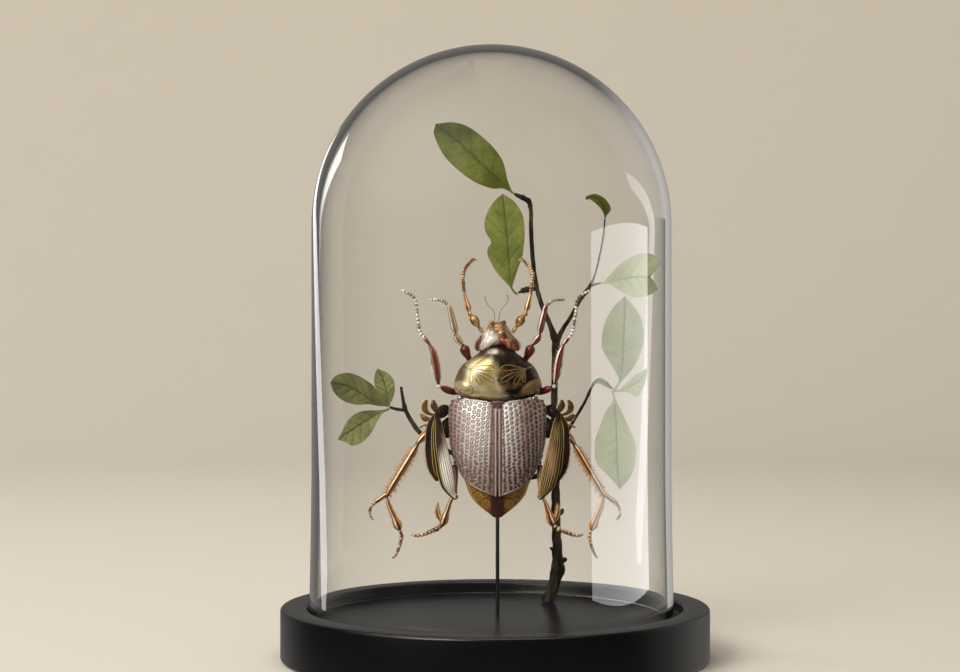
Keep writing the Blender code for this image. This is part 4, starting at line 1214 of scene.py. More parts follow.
copperTones = {
    "bands": [
        (0.40, (0.20, 0.06, 0.012)), (0.52, (0.80, 0.38, 0.07)), (0.60, (0.84, 0.44, 0.10)),
        # the cream and peach tones at 0.68 and 0.73 are a painted highlight down the middle
        (0.625, (0.02, 0.006, 0.002)), (0.65, (0.12, 0.03, 0.005)), (0.68, (1.0, 0.88, 0.70)),
        (0.73, (0.95, 0.64, 0.30)), (0.755, (0.06, 0.014, 0.003)), (0.81, (0.03, 0.008, 0.002)),
        (0.84, (0.66, 0.27, 0.045)), (0.95, (0.92, 0.50, 0.13)),
    ],
    "cloud": (0.20, 0.05, 0.006),
    "gilt": ((0.26, 0.10, 0.018), (0.74, 0.42, 0.11)),
    "outline": (0.05, 0.012, 0.003),
    "bead": ((0.14, 0.035, 0.008), (0.95, 0.70, 0.42)),
    "joint": (0.02, 0.006, 0.003),
}


def copperShell():
    # golden edges, dark lines inside them and a cream painted highlight down the middle; plain pieces are
    # gilt
    tones = copperTones
    paint = Paint("copper chitin")
    turn = paint.part(paint.place("UV"), 0)
    cloud = paint.noise(600, 3)
    bands = paint.ramp(turn, *tones["bands"])
    clouded = paint.mixed(cloud.stepped(0.45, 0.7) * 0.4, bands, tones["cloud"])
    gilt = paint.mixed(cloud.stepped(0.35, 0.65), *tones["gilt"])
    outlined = paint.mixed(turn.stepped(0.55, 0.70) * (1 - turn.stepped(0.80, 0.93)), tones["outline"], gilt)
    plain = paint.mixed(paint.mark("plain"), clouded, outlined)
    beaded = paint.mixed(cloud.stepped(0.43, 0.57), *tones["bead"])
    tipped = paint.mixed(paint.mark("pale") * 0.8, plain, beaded)
    jointed = paint.mixed(paint.mark("joint") * 0.9, tipped, tones["joint"])
    return paint.surface(baseColor=jointed, metallic=0.15, roughness=0.22 + 0.18 * cloud, coatWeight=0.2,
                         coatRoughness=0.1, normal=paint.bumped(paint.noise(1300, 2), 0.2, 0.0001))


hairTones = {  # how fine the mottling is, its two tones, and the roughness
    "peach hairs": (800, (0.50, 0.17, 0.04), (0.78, 0.38, 0.15), 0.5),
    "dark feelers": (400, (0.05, 0.03, 0.02), (0.16, 0.11, 0.07), 0.4),
}


def hairPaint(name):
    fineness, dark, pale, roughness = hairTones[name]
    paint = Paint(name)
    return paint.surface(baseColor=paint.mixed(paint.noise(fineness, 2), dark, pale), roughness=roughness)


def buildHead():
    def relief(x, z, share, isFront):
        side = np.abs(x)
        bumps = sum(height * hump(side, atX, wideX) * hump(z, atZ, wideZ)
                    for atX, atZ, wideX, wideZ, height in head["bumps"])
        groove = hump(side, 5.0 - 0.35 * (z - 103), 0.3) * between(102.0, 103.5, z)
        crossGroove = hump(z + 0.12 * x * x, 109.8, 0.3)
        dimple = hump(x, 0.3, 0.8) * hump(z, 105.0, 2.0)
        out = bumps - head["grooveDepth"] * groove - head["dimpleDepth"] * (crossGroove + dimple)
        # the rim mark is painted near black, as shade along the lower edge
        return out * isFront * (1 - between(0.8, 0.97, share)), {"rim": hump(share, 1.0, 0.06) * (z < 104.6)}

    shell = gridPiece("head", 240, 120, pillowSkin(head, relief))
    nubs = [bead("nub", place, head["nubRadii"]) for place in fromMiddle(head["nubs"])]
    piece = joined("head", [shell, *nubs])
    painted(piece, silverCopper())
    dress(piece, "head_shell", "head_chitin", "head")
    eye = painted(tube("eye", fromMiddle(head["eye"]), sides=16, detail=6), redShell())
    other = twin(eye, "right_eye")
    dress(eye, "left_eye", "head_chitin")
    dress(other, "right_eye", "head_chitin")
    feelers = [tube("feeler", fromMiddle(line), sides=6, detail=3) for line in head["feelers"]]
    dress(painted(joined("feelers", feelers), hairPaint("dark feelers")), "mouth_feelers", "head_chitin")


scutellum = {
    "outline": [(-2.1, 84.9), (-1.0, 85.1), (0, 85.2), (1.0, 85.1), (2.1, 84.9), (1.1, 83.4), (0, 82.1),
                (-1.1, 83.4)],
    "centre": (0, 84.2),
    "seat": 84,  # it lies on the back as high as it stands there
    "thickness": 1.0,
    "crown": 0.3,
    "tones": ((0.12, 0.05, 0.05), (0.36, 0.22, 0.21)),
}


def plum():
    paint = Paint("plum chitin")
    cloud = paint.noise(700, 3)
    tone = paint.mixed(cloud, *scutellum["tones"])
    return paint.surface(baseColor=tone, metallic=0.6, roughness=0.28)


def buildScutellum():
    ridge = beetle["edgeY"] - float(backHeight(scutellum["seat"]))
    line = SmoothLine(scutellum["outline"], measured=2, closed=True)
    middle = np.array(scutellum["centre"])

    def place(u, v):
        share = np.sin(math.pi * v)
        flat = middle + (line.share(u) - middle) * share[:, None]
        y = ridge + scutellum["thickness"] / 2 * (1 - np.cos(math.pi * v))
        y -= scutellum["crown"] * np.abs(np.cos(math.pi * v)) * (v < 0.5)
        return np.stack([flat[:, 0] + beetle["x"], y, flat[:, 1]], 1), {}

    piece = painted(gridPiece("scutellum", 48, 24, place), plum())
    return dress(piece, "small_plate", "silver_chitin", "scutellum")


buildElytra()
buildShoulderBeads()
buildAbdomen()
buildPronotum()
buildHead()
buildScutellum()
print("the beetle's back is built")


# ---- limbs of the left side, from the midline; the right ones are their twins

limbs = {
    "antennaRoot": [(-5.1, 13.4, 108.3, 0.5), (-5.9, 12.6, 109.3, 0.65), (-6.5, 12.3, 110.1, 0.35)],
    "antennaBead": [(-6.5, 12.2, 110.2, 0.45), (-7.1, 12.1, 111.1, 1.15), (-7.8, 12, 112.2, 1.5),
                    (-8.5, 11.9, 113.2, 1.2), (-9.0, 11.8, 113.9, 0.45)],
    "antenna": [(-9.0, 11.8, 113.8, 0.45), (-9.55, 11.8, 114.5, 0.9), (-9.8, 11.9, 115.3, 0.5),
                (-10.0, 12, 116.2, 1.0), (-10.6, 12.2, 118.6, 0.8), (-11.3, 12.5, 121.1, 0.55),
                (-11.7, 12.7, 124.7, 0.5), (-11.75, 13, 128.6, 0.6), (-10.9, 13.1, 130.4, 0.5),
                (-9.2, 13.5, 132.4, 0.45), (-8.2, 13.6, 133.3, 0.35), (-7.4, 13.6, 132.9, 0.28)],
    "frontCoxa": [(-9.2, 18, 98.2, 0.9), (-10.2, 16, 100.0, 1.1), (-11.0, 15, 101.7, 1.65),
                  (-11.5, 14.6, 103.0, 1.5), (-11.9, 14.4, 103.9, 0.5)],
    "frontJoint": [(-12.0, 14.2, 104.0, 0.5), (-12.9, 13.8, 105.0, 0.95), (-13.9, 13.4, 106.3, 1.1),
                   (-14.6, 13.1, 107.4, 0.5)],
    "frontLeg": [(-14.3, 13.0, 107.6, 0.5), (-14.6, 12.9, 109.0, 1.05), (-15.3, 12.8, 112.0, 1.1),
                 (-16.0, 12.9, 115.0, 0.95), (-16.5, 13, 116.9, 0.8), (-17.0, 13.3, 117.6, 0.5),
                 (-18.0, 13.8, 118.5, 0.5), (-19.8, 14.2, 119.4, 0.48), (-21.8, 14.6, 119.4, 0.42),
                 (-23.3, 15, 119.5, 0.3)],
    "middleCoxa": [(-13.5, 17.4, 87.6, 0.9), (-16.3, 14.9, 88.2, 1.2), (-18.4, 13.4, 89.1, 1.05),
                   (-19.4, 12.9, 89.6, 0.5)],
    "middleKnee": [(-19.3, 12.8, 89.5, 0.45), (-20.1, 12.6, 90.0, 0.75), (-20.3, 12.4, 90.8, 0.45)],
    "middleLeg": [(-20.2, 12.4, 90.6, 0.5), (-20.5, 12.2, 92.5, 0.95), (-21.2, 12, 97.7, 1.2),
                  (-22.2, 12.2, 101.6, 1.05), (-23.3, 12.4, 104.0, 0.45)],
    "middleSpur": [(-20.5, 12.6, 90.4, 0.25), (-22.0, 12.6, 94.4, 0.38), (-22.7, 12.6, 98.0, 0.3),
                   (-23.3, 12.6, 103.4, 0.22)],
    "middleFoot": [(-23.3, 12.5, 104.1, 0.45), (-24.2, 12.9, 105.3, 0.75), (-25.3, 13.2, 106.6, 0.6),
                   (-26.2, 13.4, 107.6, 0.65), (-26.7, 13.6, 109.2, 0.5), (-27.3, 13.8, 112.4, 0.52),
                   (-27.8, 14, 115.9, 0.5), (-28.0, 14, 118.8, 0.48), (-28.8, 14.2, 120.3, 0.45),
                   (-30.8, 14.6, 121.6, 0.42), (-33.1, 15, 122.8, 0.28)],
    "hindCoxa": [(-16.9, 16.3, 81.4, 1.3), (-18.2, 14.6, 81.6, 2.0), (-19.6, 13.4, 80.6, 1.9),
                 (-20.8, 12.6, 79.2, 1.0)],
    "hindLobe": [(-16.9, 15.0, 78.6, 0.8), (-17.7, 14.2, 76.8, 1.6), (-17.6, 13.9, 74.6, 1.9),
                 (-17.0, 14.2, 72.6, 0.9)],
    "hindBlade": [(-20.8, 12.2, 80.2, 0.8), (-20.3, 11.4, 76.0, 1.6), (-19.6, 10.4, 70.0, 2.3),
                  (-18.7, 9.9, 65.0, 2.6), (-17.7, 9.8, 60.0, 2.75), (-16.7, 10.0, 56.0, 2.3),
                  (-15.5, 10.6, 53.4, 1.3), (-14.3, 11, 51.8, 0.7)],
    "hindTip": [(-15.0, 10.9, 52.9, 0.5), (-14.2, 10.9, 52.3, 0.85), (-13.6, 11.1, 52.6, 0.4)],
    "hindPlate": [(-21.2, 12.8, 80.2, 0.8), (-22.4, 12.8, 76.6, 1.8), (-22.7, 12.6, 71.0, 2.1),
                  (-22.5, 12.7, 66.0, 2.2), (-21.9, 12.9, 61.4, 1.7), (-20.7, 13, 57.9, 0.7)],
    "hindStrut": [(-14.6, 15.7, 62.4, 1.0), (-14.2, 14.2, 59.4, 0.7), (-14.3, 12.4, 56.2, 0.6),
                  (-14.4, 11.4, 53.4, 0.6)],
    "hindTibia": [(-14.6, 11.2, 53.0, 0.55), (-15.9, 11.5, 51.2, 0.65), (-17.3, 12, 47.4, 1.0),
                  (-18.8, 12.5, 43.2, 1.25), (-19.2, 12.6, 42.4, 0.7)],
    "hindFoot": [(-19.0, 12.6, 42.6, 0.6), (-20.4, 12.8, 41.5, 0.75), (-22.4, 13.2, 40.5, 0.7),
                 (-24.6, 13.6, 39.6, 0.58), (-26.8, 14, 38.9, 0.48), (-28.7, 14.3, 38.9, 0.35),
                 (-29.4, 14.5, 39.3, 0.2)],
    "hindSpur": [(-18.6, 12.4, 43.4, 0.7), (-20.2, 12.2, 45.8, 1.0), (-20.6, 12, 48.2, 0.7),
                 (-20.3, 12, 50.1, 0.2)],
    "outerRoot": [(-16.8, 17.4, 77.3, 0.9), (-21.0, 17.2, 75.6, 1.2), (-24.6, 16.6, 73.4, 1.35),
                  (-26.8, 15.9, 71.2, 1.1), (-27.8, 15.4, 69.9, 0.5)],
    "outerLeg": [(-27.4, 15.4, 70.1, 0.5), (-28.4, 15.1, 68.5, 1.1), (-30.6, 14.9, 64.9, 1.25),
                 (-34.5, 14.6, 58.6, 1.2), (-37.4, 14.5, 53.8, 1.05), (-38.4, 14.5, 52.0, 0.6)],
    "outerFork": [(-37.6, 14.4, 53.4, 0.6), (-40.2, 14.4, 51.6, 0.85), (-42.6, 14.6, 49.9, 0.7),
                  (-43.2, 14.7, 49.2, 0.45), (-44.1, 15, 47.0, 0.42), (-43.8, 15.2, 45.2, 0.38),
                  (-42.9, 15.3, 44.1, 0.25)],
    "innerFork": [(-38.2, 14.6, 52.2, 0.5), (-37.3, 14.3, 49.0, 0.8), (-35.6, 14.1, 45.2, 1.0),
                  (-33.9, 14, 41.4, 1.15), (-33.6, 14, 40.7, 0.5)],
    "innerFoot": [(-33.7, 14, 41.0, 0.5), (-33.0, 14.2, 38.9, 0.58), (-33.4, 14.6, 36.4, 0.52),
                  (-34.2, 15, 33.9, 0.46), (-35.2, 15.4, 31.9, 0.4), (-36.1, 15.6, 31.0, 0.25)],
}
petals = [
    [(-19.8, 13.0, 80.4, 0.5), (-21.2, 12.9, 82.0, 1.2), (-21.9, 13, 83.4, 1.45), (-22.0, 13.1, 84.9, 0.7)],
    [(-20.0, 13.2, 80.0, 0.4), (-23.2, 13.6, 80.4, 0.6), (-24.9, 13.8, 81.8, 1.2), (-25.0, 13.9, 83.6, 1.2),
     (-24.4, 14, 84.9, 0.6)],
    [(-20.4, 13.4, 79.4, 0.4), (-23.4, 14, 78.6, 0.8), (-25.2, 14.2, 79.0, 1.2), (-26.2, 14.4, 80.0, 0.6)],
    [(-21.6, 13.6, 77.6, 0.3), (-24.0, 13.9, 76.6, 0.45), (-25.4, 14.0, 76.4, 0.3),
     (-26.6, 14.1, 75.8, 0.35)],
]
reachOf = {"middle": 0.97, "outer": 0.96}  # how far the right leg spreads against the left one
hairRooting = 0.1  # how deep hairs sit in a limb
chance = random.Random(7)


def beaded(first, last, count, depth=0.55):
    # pale beads between two shares of a limb: each one swells, and draws in at a dark joint
    def beatAt(share):
        walk = (share - first) / (last - first)
        return np.modf(np.clip(walk, 0, 1) * count)[0], (walk > 0) & (walk < 1)

    def swell(share):
        beat, inside = beatAt(share)
        return 1 + inside * depth * (np.sin(math.pi * beat) ** 0.7 - 0.6)

    def marks(u, share):
        beat, inside = beatAt(share)
        joint = inside * (1 - between(0.06, 0.22, beat) * (1 - between(0.78, 0.94, beat)))
        return {"joint": joint, "pale": between(first - 0.02, first + 0.02, share)}

    return {"swell": swell, "marks": marks}


def endMarks(u, share):
    # dark where one limb piece meets the next
    inside = between(0.0, 0.08, share) * (1 - between(0.92, 1.0, share))
    return {"joint": 1 - inside, "pale": np.zeros_like(share)}


def marked(mark, others):
    # the same marks and one more, all over the piece
    return lambda u, share: {**others(u, share), mark: np.ones_like(share)}


def paleMarks(u, share):
    return {"joint": np.zeros_like(share), "pale": np.ones_like(share)}


plainMarks = marked("plain", endMarks)


def limb(name, paint, sides=16, detail=7, **more):
    more.setdefault("marks", endMarks)
    return painted(tube(name, fromMiddle(limbs[name]), sides=sides, detail=detail, **more), paint)


def edgeHairs(name, paint, first, last, count, turns, length, radius=0.1, lean=0.5):
    # hairs between two shares of a limb, at each of the turns round it; lean draws them towards its end
    stations = fromMiddle(limbs[name])
    roots = []
    for i in range(count):
        share = first + (last - first) * (i + chance.random()) / count
        for turn in turns:
            place, out, way = onLimb(stations, share, -hairRooting, turn + chance.uniform(-25, 25))
            roots.append((place, (out + way * lean * chance.uniform(0.5, 1.5)).normalized()))
    return painted(hairs(name + "Hairs", roots, length, radius), paint)


def dressPair(pieces, name, slotName, node, reach=1.0):
    left = joined("left_" + name, pieces)
    right = twin(left, "right_" + name, reach)
    dress(left, "left_" + name, slotName, "left_" + node)
    dress(right, "right_" + name, slotName, "right_" + node)


def buildAntennae(copper):
    pieces = [limb("antennaRoot", copper, marks=plainMarks),
              limb("antennaBead", copper, 24, marks=plainMarks),
              limb("antenna", copper, detail=10, **beaded(0.36, 0.99, 15)),
              edgeHairs("antenna", copper, 0.40, 0.97, 15, (0, 180), 0.75, 0.22, 0.9)]
    dressPair(pieces, "feeler", "copper_chitin", "antenna")


def buildFrontLegs(red):
    beads = beaded(0.56, 0.99, 8)
    pieces = [limb("frontCoxa", red, marks=plainMarks),
              # the gilded mark lets the paint gild the left front leg as lit
              limb("frontJoint", red, marks=marked("gilded", endMarks)),
              limb("frontLeg", red, detail=9, swell=beads["swell"], marks=marked("gilded", beads["marks"])),
              edgeHairs("frontLeg", red, 0.58, 0.98, 9, (0, 180), 0.55, 0.15, 0.8)]
    dressPair(pieces, "fore_leg", "red_chitin", "front_leg")


def buildMiddleLegs(red, hair):
    pieces = [limb("middleCoxa", red, marks=plainMarks), limb("middleLeg", red),
              limb("middleSpur", red, 8, marks=paleMarks),
              limb("middleKnee", red, **beaded(0.0, 0.98, 1, 0.2)),
              limb("middleFoot", red, detail=9, **beaded(0.12, 0.99, 15)),
              edgeHairs("middleLeg", hair, 0.1, 0.95, 20, (180,), 0.9, 0.17),
              edgeHairs("middleFoot", red, 0.3, 0.98, 14, (0, 180), 0.5, 0.13, 0.8)]
    dressPair(pieces, "mid_leg", "red_chitin", "middle_leg", reachOf["middle"])


rearTones = {
    "black": ((0.003, 0.0015, 0.001), (0.02, 0.01, 0.005)),
    "blade": ((0.003, 0.0012, 0.0006), (0.04, 0.014, 0.005)),
    "leftZone": ((0.10, 0.05, 0.03), (0.62, 0.44, 0.32)),
    "leftLow": (1.0, 0.96, 0.88),
    "rightZone": (0.008, 0.003, 0.002),
    "rightLow": ((0.12, 0.05, 0.02), (0.27, 0.15, 0.09)),
    "stripe": ((0.05, 0.03, 0.02), (0.74, 0.52, 0.22)),  # on the left and on the right
    "gold": ((0.58, 0.36, 0.05), (0.95, 0.76, 0.26)),
    "lobe": ((0.02, 0.008, 0.002), (0.13, 0.065, 0.014)),
    "outerLobe": (0.40, 0.25, 0.10),
    # the next tone is a painted highlight
    "lobeEdge": (0.80, 0.64, 0.38),
}


def blackShell():
    paint = Paint("black chitin")
    cloud = paint.noise(500, 3)
    tone = paint.mixed(cloud, *rearTones["black"])
    return paint.surface(baseColor=tone, roughness=0.14 + 0.1 * cloud, specularIORLevel=0.06)


def ribbedShell():
    # black with gold outlines; a striped zone is cream with dark lines on the left, and brown with gold ones
    # on the right; the left zone is painted as lit and the right one as shaded
    tones = rearTones
    paint = Paint("ribbed chitin")
    side = paint.fromMidline().stepped(-4, 4)
    cloud = paint.noise(260, 4, paint.stretched((1, 1, 0.25)))
    black = paint.mixed(cloud.stepped(0.35, 0.7), *tones["blade"])
    broken, low = cloud.stepped(0.38, 0.62), paint.mark("low")
    # painted light and shade: the zone is painted pale as lit on the left, dark as shaded on the right
    left = paint.mixed(low, paint.mixed(broken, *tones["leftZone"]), tones["leftLow"])
    right = paint.mixed(broken, tones["rightZone"], paint.mixed(low, *tones["rightLow"]))
    body = paint.mixed(paint.mark("zone"), black, paint.mixed(side, left, right))
    fade = side * cloud.stepped(0.35, 0.6) * 0.6
    stripe = paint.mixed(side, *tones["stripe"])
    striped = paint.mixed(paint.mark("stripe") * (1 - fade) * 0.9, body, stripe)
    edged = paint.mixed(paint.mark("edge"), striped, paint.mixed(cloud, *tones["gold"]))
    return paint.surface(baseColor=edged, roughness=0.25 + 0.15 * cloud, specularIORLevel=0.05)


def petalShell():
    paint = Paint("golden brown lobes")
    cloud = paint.noise(350, 4)
    turn = paint.part(paint.place("UV"), 0)
    x = paint.fromMidline()
    tone = paint.mixed(cloud.stepped(0.3, 0.7), *rearTones["lobe"])
    outer = paint.mixed((x * x).stepped(480, 660) * 0.06, tone, rearTones["outerLobe"])
    # painted highlight: the lobes' edges, round from their fronts, are painted pale
    front = turn.stepped(0.57, 0.62) * (1 - turn.stepped(0.88, 0.93))
    edged = paint.mixed(1 - front, outer, rearTones["lobeEdge"])
    return paint.surface(baseColor=edged, roughness=0.35, specularIORLevel=0.25, coatWeight=0.08,
                         coatRoughness=0.2)


def fromFront(u):
    # 0 in the middle of a limb's front, 1 at its edges, 2 at the middle of its back
    return np.abs(((u - 0.75 + 0.5) % 1) - 0.5) * 4


ribDepth = 0.02  # in shares of a limb's radius


def ribbedForm(ribs, line, zoneStart):
    # gold outlines on both edges and on one line across the front; ribs run between the line and the far
    # edge, and from zoneStart on a paler zone widens there
    def ripple(u, share):
        front = fromFront(u)
        ridges = np.cos(front * 2 * math.pi * ribs) * (front < 0.85) + hump(front, 0.97, 0.1)
        return 1 + ribDepth * ridges

    def marks(u, share):
        front, across = fromFront(u), (u - 0.75) * 4
        drawn = between(0.02, 0.1, share) * (1 - between(0.9, 0.97, share))
        edge = np.clip(hump(front, 0.82, 0.075) + hump(across, line, 0.03) * drawn, 0, 1)
        inside = between(line + 0.06, line + 0.16, across) * (1 - between(0.72, 0.80, across))
        ridge = np.clip(np.cos(across * 2 * math.pi * ribs) * 2 - 0.7, 0, 1)
        return {"edge": edge,
                "zone": inside * between(zoneStart, zoneStart + 0.3, share + 0.12 * across),
                "stripe": inside * ridge * between(0.05, 0.2, share) * (1 - edge),
                "low": between(0.3, 0.62, share + 0.2 * across)}

    return {"ripple": ripple, "marks": marks}


def buildHindLegs(copper, hair):
    black, lobe, ribbed = blackShell(), petalShell(), ribbedShell()
    pieces = [limb("hindBlade", ribbed, 96, 6, flat=0.55, **ribbedForm(5.5, -0.42, 0.2)),
              limb("hindPlate", ribbed, 80, 6, flat=0.55, **ribbedForm(3, 0.05, 2.0)),
              limb("hindCoxa", black, 20), limb("hindLobe", black, 20)]
    for petal in petals:
        pieces.append(painted(tube("petal", fromMiddle(petal), sides=16, detail=8, flat=0.5), lobe))
    pieces += [limb("hindTibia", copper), limb("hindStrut", copper), limb("hindTip", copper),
               limb("hindFoot", copper, detail=9, **beaded(0.02, 0.98, 8)),
               limb("hindSpur", copper, flat=0.4),
               edgeHairs("hindFoot", copper, 0.1, 0.98, 8, (0, 180), 0.6, 0.16, 0.8),
               edgeHairs("hindSpur", hair, 0.5, 0.98, 7, (0, 180), 0.8, 0.1),
               edgeHairs("hindPlate", hair, 0.25, 0.98, 34, (180,), 0.8, 0.2)]
    dressPair(pieces, "rear_leg", "ribbed_chitin", "hind_leg")


def buildOuterLegs(copper, hair):
    pieces = [limb("outerRoot", copper), limb("outerLeg", copper, 20), limb("innerFork", copper),
              limb("outerFork", copper, detail=10, **beaded(0.42, 0.99, 6)),
              limb("innerFoot", copper, detail=10, **beaded(0.02, 0.99, 8)),
              edgeHairs("outerLeg", hair, 0.08, 0.97, 27, (0, 180), 1.6, 0.2),
              edgeHairs("innerFork", hair, 0.1, 0.9, 9, (0, 180), 0.8, 0.16),
              edgeHairs("innerFoot", copper, 0.1, 0.98, 8, (0, 180), 0.6, 0.16, 0.8),
              edgeHairs("outerFork", copper, 0.45, 0.98, 6, (0, 180), 0.6, 0.16, 0.8)]
    dressPair(pieces, "side_leg", "copper_chitin", "outer_leg", reachOf["outer"])


copper, red, peach = copperShell(), redShell(), hairPaint("peach hairs")
buildAntennae(copper)
buildFrontLegs(red)
buildMiddleLegs(red, peach)
buildHindLegs(copper, peach)
buildOuterLegs(copper, peach)
print("the limbs are built")


# ---- twig

twig = {  # each stretch through x, y, z and radius
    "trunk": [(19.0, 36, 13.3, 2.3), (20.8, 35.5, 17.9, 2.0), (22.6, 34.8, 24.7, 2.15),
              (22.4, 34, 31.1, 1.65), (22.1, 33.2, 38.4, 1.6), (21.8, 32.4, 46.3, 1.5),
              (21.8, 31.6, 55.4, 1.35), (21.6, 31, 67.0, 1.3), (21.2, 30.4, 77.6, 1.2),
              (21.2, 29.8, 87.0, 1.15), (21.4, 29, 96.9, 1.15), (21.7, 28.1, 104.8, 1.2)],
    "stub": [(22.4, 33.6, 31.4, 0.8), (20.6, 32.6, 32.2, 0.65), (19.9, 32.3, 32.6, 0.45)],
    "knot": [(22.8, 34.2, 27.6, 1.2), (24.6, 33.4, 28.2, 1.0), (25.6, 33.1, 28.6, 0.7)],
    "bud": [(22.4, 32, 44.6, 0.8), (23.7, 31.4, 45.2, 0.9), (24.3, 31.2, 46.4, 0.5)],
    "mainArm": [(21.5, 27.8, 105.6, 1.1), (19.2, 27.4, 111.9, 0.85), (17.2, 27, 116.4, 0.8),
                (15.5, 26.4, 121.3, 0.78), (14.1, 25.6, 128.2, 0.75), (13.2, 24.8, 136.9, 0.75),
                (12.8, 24.2, 144.5, 0.72), (12.6, 23.6, 151.4, 0.72), (12.1, 23.4, 153.6, 0.85),
                (10.3, 22.8, 154.8, 0.8), (8.4, 22.2, 155.6, 0.7), (6.8, 21.8, 156.3, 0.35)],
    "budShoot": [(15.0, 26.1, 123.6, 0.5), (12.1, 25, 123.2, 0.9), (10.2, 24.4, 122.8, 0.8),
                 (8.4, 23.8, 122.0, 0.35)],
    "rightArm": [(21.5, 28.4, 103.2, 0.9), (22.2, 28.0, 105.4, 0.95), (24.0, 26.9, 109.2, 0.75),
                 (26.5, 25.2, 113.2, 0.68), (29.9, 22.6, 119.3, 0.62), (33.3, 20, 124.5, 0.6),
                 (34.3, 19.4, 126.5, 0.4),
                 (35.8, 18.4, 131.7, 0.32), (36.9, 17.6, 136.9, 0.3), (37.7, 17, 141.7, 0.3),
                 (38.2, 16.4, 147.2, 0.28)],
    "rightShoot": [(33.0, 20.2, 124.1, 0.5), (35.0, 18.6, 124.8, 0.4), (36.8, 17, 125.2, 0.3)],
    "lowerLeft": [(19.7, 31.5, 59.9, 0.9), (14.8, 31.4, 57.8, 0.95), (6.3, 30.6, 58.3, 0.9),
                  (-2.1, 29.4, 60.5, 0.85), (-10.5, 28, 64.0, 0.8), (-18.1, 26.4, 68.0, 0.8),
                  (-23.7, 25, 70.9, 0.8), (-27.1, 23.6, 74.8, 0.78), (-29.2, 22.6, 77.9, 0.75),
                  (-31.0, 21.6, 81.6, 0.75), (-31.6, 21.2, 83.8, 0.62), (-32.1, 20.8, 86.6, 0.55),
                  (-32.4, 20.4, 89.4, 0.5)],
    "leftShoot": [(-30.9, 21.7, 81.3, 0.6), (-33.5, 19.8, 81.7, 0.55), (-36.1, 17.9, 82.5, 0.45)],
    "lowerRight": [(23.6, 30.3, 67.8, 0.75), (24.6, 29.4, 70.3, 0.62), (27.2, 27, 76.3, 0.55),
                   (30.0, 24.4, 81.2, 0.52), (32.0, 22, 85.1, 0.5), (33.6, 20, 88.9, 0.48),
                   (34.9, 18.6, 91.2, 0.45), (36.5, 17.6, 92.2, 0.42), (38.5, 16.4, 91.2, 0.4),
                   (40.6, 14.8, 88.9, 0.3)],
}
growth = {  # seed, sides, rings a millimetre, and knots: each a share of the way, its height and its length
    "trunk": (3, 28, 4, [(0.13, 0.18, 0.02), (0.20, 0.1, 0.03), (0.42, 0.12, 0.015), (0.60, 0.1, 0.02),
                         (0.985, 0.25, 0.03)]),
    "mainArm": (5, 20, 5, [(0.03, 0.3, 0.03), (0.3, 0.14, 0.015), (0.86, 0.2, 0.01), (0.90, 0.25, 0.008),
                           (0.94, 0.25, 0.008), (0.98, 0.2, 0.008)]),
    "budShoot": (8, 16, 8, [(0.35, 0.4, 0.06), (0.55, 0.35, 0.05), (0.75, 0.5, 0.05)]),
    "rightArm": (11, 16, 5, [(0.12, 0.1, 0.02), (0.46, 0.35, 0.015), (0.72, 0.3, 0.01)]),
    "rightShoot": (12, 12, 6, []),
    "lowerLeft": (14, 18, 4, [(0.9, 0.25, 0.01), (0.78, 0.15, 0.015)]),
    "leftShoot": (15, 14, 6, [(0.5, 0.2, 0.06)]),
    "lowerRight": (17, 16, 4, [(0.63, 0.3, 0.012), (0.75, 0.2, 0.01)]),
}
twigNodes = {
    "twig_trunk": ("trunk", "stub", "knot", "bud"),
    "twig_main_arm": ("mainArm", "budShoot"),
    "twig_right_arm": ("rightArm", "rightShoot"),
    "twig_lower_left": ("lowerLeft", "leftShoot"),
    "twig_lower_right": ("lowerRight",),
}
barkTones = {
    "wood": ((0.004, 0.0025, 0.0012), (0.080, 0.060, 0.034)),
    "moss": (0.20, 0.17, 0.09),
}
trunkLift = 0.3  # the trunk's foot above the recess floor


def barkPaint():
    paint = Paint("bark")
    ridge = paint.noise(420, 5, paint.stretched((1, 1, 0.18)))
    patch = paint.noise(110, 3)
    wood = paint.mixed(ridge.stepped(0.3, 0.75), *barkTones["wood"])
    moss = paint.mixed(patch.stepped(0.45, 0.7) * ridge.stepped(0.4, 0.7) * 0.7, wood, barkTones["moss"])
    return paint.surface(baseColor=moss, roughness=0.6 + 0.3 * patch, specularIORLevel=0.1,
                         normal=paint.bumped(ridge, 0.9, 0.0008))


def branch(name):
    # a stretch with uneven bark and knots, or a plain small one
    stations = twig[name]
    if name not in growth:
        return tube(name, stations, detail=6)
    seed, sides, detail, knots = growth[name]
    draw = random.Random(seed)
    waves = [(draw.randint(2, 6), draw.uniform(1, 5), draw.uniform(0, 2 * math.pi), draw.uniform(0.015, 0.04))
             for _ in range(7)]
    length = SmoothLine(stations).length

    def ripple(u, share):
        value = np.ones_like(u)
        for turns, rate, phase, size in waves:
            value += size * np.sin(turns * 2 * math.pi * u + rate * share * length * 0.4 + phase)
        for place, height, reach in knots:
            value += height * hump(share, place, reach)
        return value

    return tube(name, stations, sides=sides, detail=detail, ripple=ripple, endRound=0.3)


def levelFoot(piece, height):
    # everything lower than the cut is brought up to it
    for vertex in piece.data.vertices:
        vertex.co.z = max(vertex.co.z, height)


def buildTwig():
    bark = barkPaint()
    for node, names in twigNodes.items():
        wood = joined(node, [painted(branch(name), bark) for name in names])
        if node == "twig_trunk":
            levelFoot(wood, recessFloor + trunkLift * mm)
        dress(wood, node + "_wood", "bark", node)


buildTwig()
print("the twig is built")


# ---- leaves: one margin, the midrib and the other margin in x and z from the stalk to the tip, then the
# depth of the stalk and of the tip, and how far the blade bows back between them

